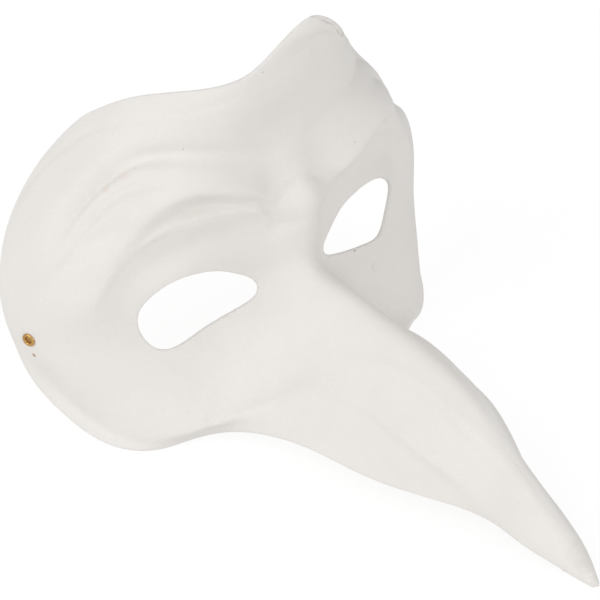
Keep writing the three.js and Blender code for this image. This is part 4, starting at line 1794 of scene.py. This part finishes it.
@dataclass
class Eyelet:
    """A thin brass eyelet, rolled over in front and clinched behind the pulp.

    bore, flange and clinch are the radii of its opening, its front and its back, hole_radius
    is that of the hole in the pulp, and crest is how high the roll stands. The clinched rim
    starts clinch_start outside the bore and is uneven by clinch_wobble, in two sets of waves
    that go so many times around.
    """

    form: FaceForm
    side: Side
    spot: Spot = (0.88, 6.54)
    hole_radius: float = 2.0
    bore: float = 1.2
    flange: float = 2.6
    crest: float = 0.76
    wall: float = PULP_THICKNESS
    clinch: float = 2.4
    clinch_start: float = 0.4
    clinch_wobble: float = 0.07
    clinch_waves: tuple[int, int] = (5, 9)
    segments: int = 72
    profile_steps: int = 72

    def profile(self) -> Array:
        """Closed outline of the rolled metal.

        Returns:
            Its points as (radius, height over the face of the pulp), one row each.
        """
        behind = -self.wall
        corners = np.array(
            [
                (self.flange, 0.14), (self.flange - 0.06, 0.4), (self.flange - 0.3, 0.63),
                (self.flange - 0.66, self.crest), (self.bore + 0.36, 0.68), (self.bore + 0.1, 0.4),
                (self.bore, -0.1), (self.bore, -0.8), (self.bore, behind + 0.1),
                (self.bore + 0.12, behind - 0.4), (self.bore + 0.42, behind - 0.68),
                (self.clinch - 0.4, behind - 0.68), (self.clinch - 0.06, behind - 0.4),
                (self.clinch, behind - 0.1), (self.clinch - 0.2, behind - 0.08),
                (self.bore + 0.55, behind - 0.12), (self.bore + 0.32, behind + 0.15),
                (self.bore + 0.3, -0.8), (self.bore + 0.32, -0.1), (self.bore + 0.55, 0.14),
                (self.flange - 0.35, 0.2), (self.flange - 0.1, 0.04),
            ]
        )
        return closed_curve(corners, self.profile_steps)

    def build(self, material: bpy.types.Material) -> bpy.types.Object:
        """Turns the profile around the axis of the bore and sets it on the face.

        Args:
            material: the eyelet's finish.

        Returns:
            The eyelet.
        """
        plane = self.form.plane(self.side.value * self.spot[0], self.spot[1])
        outline = self.profile()
        turn = 2 * math.pi * np.arange(self.segments) / self.segments
        slow, fast = self.clinch_waves
        wobble = 0.6 * np.sin(slow * turn + 0.7) + 0.4 * np.sin(fast * turn + self.side.value)
        radius, height = outline[:, 0][None], outline[:, 1][None]
        is_clinch = (height < -self.wall) & (radius > self.bore + self.clinch_start)
        radius = radius + np.where(is_clinch, self.clinch_wobble * wobble[:, None], 0)
        height = np.broadcast_to(height, radius.shape)
        measures = np.stack([radius * np.cos(turn)[:, None], radius * np.sin(turn)[:, None], height], axis=-1)
        parts = MeshParts()
        rings = parts.add_corners(plane.lift(measures))
        rings = np.concatenate([rings, rings[:1]])
        rings = np.concatenate([rings, rings[:, :1]], axis=1)
        for first, second in zip(rings, rings[1:]):
            parts.add_strip(second, first, 0)
        name = f"eyelet_{self.side.name.lower()}_brass"
        return parts.build(name, [material], crease=80)


# Around the mask


def aimed(name: str, data: bpy.types.ID, place: Vector, direction: Vector) -> bpy.types.Object:
    """Sets up a camera or a light.

    Args:
        name: its name.
        data: the camera or light.
        place: where it stands, in metres.
        direction: which way it looks.

    Returns:
        The object.
    """
    made = new_object(name, data)
    made.location = place
    made.rotation_euler = direction.to_track_quat("-Z", "Y").to_euler()
    return made


@dataclass(frozen=True)
class PhotoCamera:
    """Long lens at the photograph's angle.

    target and distance are in millimetres, and it sees what lies between nearest and
    farthest, in metres.
    """

    target: tuple[float, float, float] = (-40.9, -2.72, 82.22)
    azimuth: float = -41.3
    elevation: float = 34.9
    distance: float = 1100.0
    lens: float = 193.05
    sensor: float = 36.0
    nearest: float = 0.05
    farthest: float = 50.0

    def build(self) -> bpy.types.Object:
        """Makes the camera and looks through it.

        Returns:
            The camera.
        """
        turn, rise = math.radians(self.azimuth), math.radians(self.elevation)
        towards = Vector((math.sin(turn) * math.cos(rise), -math.cos(turn) * math.cos(rise), math.sin(rise)))
        data = bpy.data.cameras.new("camera")
        data.lens = self.lens
        data.sensor_width = self.sensor
        data.clip_start = self.nearest
        data.clip_end = self.farthest
        camera = aimed("camera", data, (Vector(self.target) + towards * self.distance) * MM, -towards)
        bpy.context.scene.camera = camera
        return camera


@dataclass(frozen=True)
class SoftLight:
    """A square soft light that looks at the mask. Its measures are in metres and watts."""

    name: str
    place: tuple[float, float, float]
    size: float
    power: float
    colour: Colour = (1.0, 1.0, 1.0)
    target: tuple[float, float, float] = (0.0, 0.0, 0.07)

    def build(self) -> bpy.types.Object:
        """Hangs the light.

        Returns:
            The light.
        """
        data = bpy.data.lights.new(self.name, "AREA")
        data.size = self.size
        data.energy = self.power
        data.color = self.colour
        place = Vector(self.place)
        return aimed(self.name, data, place, Vector(self.target) - place)


@dataclass(frozen=True)
class Studio:
    """White table and soft white light all around, stronger from the left and the front."""

    table_size: float = 12.0
    surround_seen: float = 1.0
    surround_given: float = 0.57
    lights: tuple[SoftLight, ...] = (
        SoftLight("left_light", (-1.95, 0.1, 1.5), 2.0, 21.5),
        SoftLight("front_light", (0.1, -2.25, 1.1), 2.0, 13.0),
    )

    def build(self, effects: Effects) -> None:
        """Makes the table, the lights and the surroundings.

        Args:
            effects: the shared node groups.
        """
        half = self.table_size / 2
        corners = [(-half, -half, 0), (half, -half, 0), (half, half, 0), (-half, half, 0)]
        mesh = bpy.data.meshes.new("table")
        mesh.from_pydata(corners, [], [(0, 1, 2, 3)])
        mesh.materials.append(TableFinish().material(effects))
        new_object("table", mesh)
        for light in self.lights:
            light.build()
        world = bpy.data.worlds.new("white_room")
        world.use_nodes = True
        sheet = NodeSheet(world.node_tree)
        background = world.node_tree.nodes["Background"]
        background.inputs["Color"].default_value = (1, 1, 1, 1)
        brightness = sheet.seen_or_given(self.surround_seen, self.surround_given)
        sheet.feed(background.inputs["Strength"], brightness)
        bpy.context.scene.world = world
        bpy.context.scene.view_settings.view_transform = "Standard"


def main() -> None:
    """Builds the mask, the table, the light and the camera, and reports each piece."""
    logging.basicConfig(level=logging.INFO, format="%(name)s: %(message)s")
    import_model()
    form = FaceForm()
    effects = Effects()
    PhotoCamera().build()
    Studio().build(effects)

    eyelets = [Eyelet(form, Side.RIGHT), Eyelet(form, Side.LEFT)]
    outlines = {Side.RIGHT: RIGHT_EYE_OUTLINE, Side.LEFT: LEFT_EYE_OUTLINE}
    holes = [Hole.eye(form, side, outline) for side, outline in outlines.items()]
    holes += [Hole.round(form, eyelet.side, eyelet.spot, eyelet.hole_radius) for eyelet in eyelets]
    pulp = [finish.material(effects, form) for finish in (PULP_FACE, PULP_INSIDE, PULP_EDGE)]
    shell = MaskShell(form, holes).build(pulp)
    pieces = [(shell, "mask_shell", "paper_pulp")]
    brass = BrassFinish().material(effects)
    for eyelet in eyelets:
        node = f"eyelet_{eyelet.side.name.lower()}_temple"
        pieces.append((eyelet.build(brass), node, "brass"))
    for piece, node, slot in pieces:
        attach(piece, BODY)
        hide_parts(node)
        LOG.info("%s stands for %s: %d faces", piece.name, node, len(piece.data.polygons))


if __name__ == "__main__":
    main()
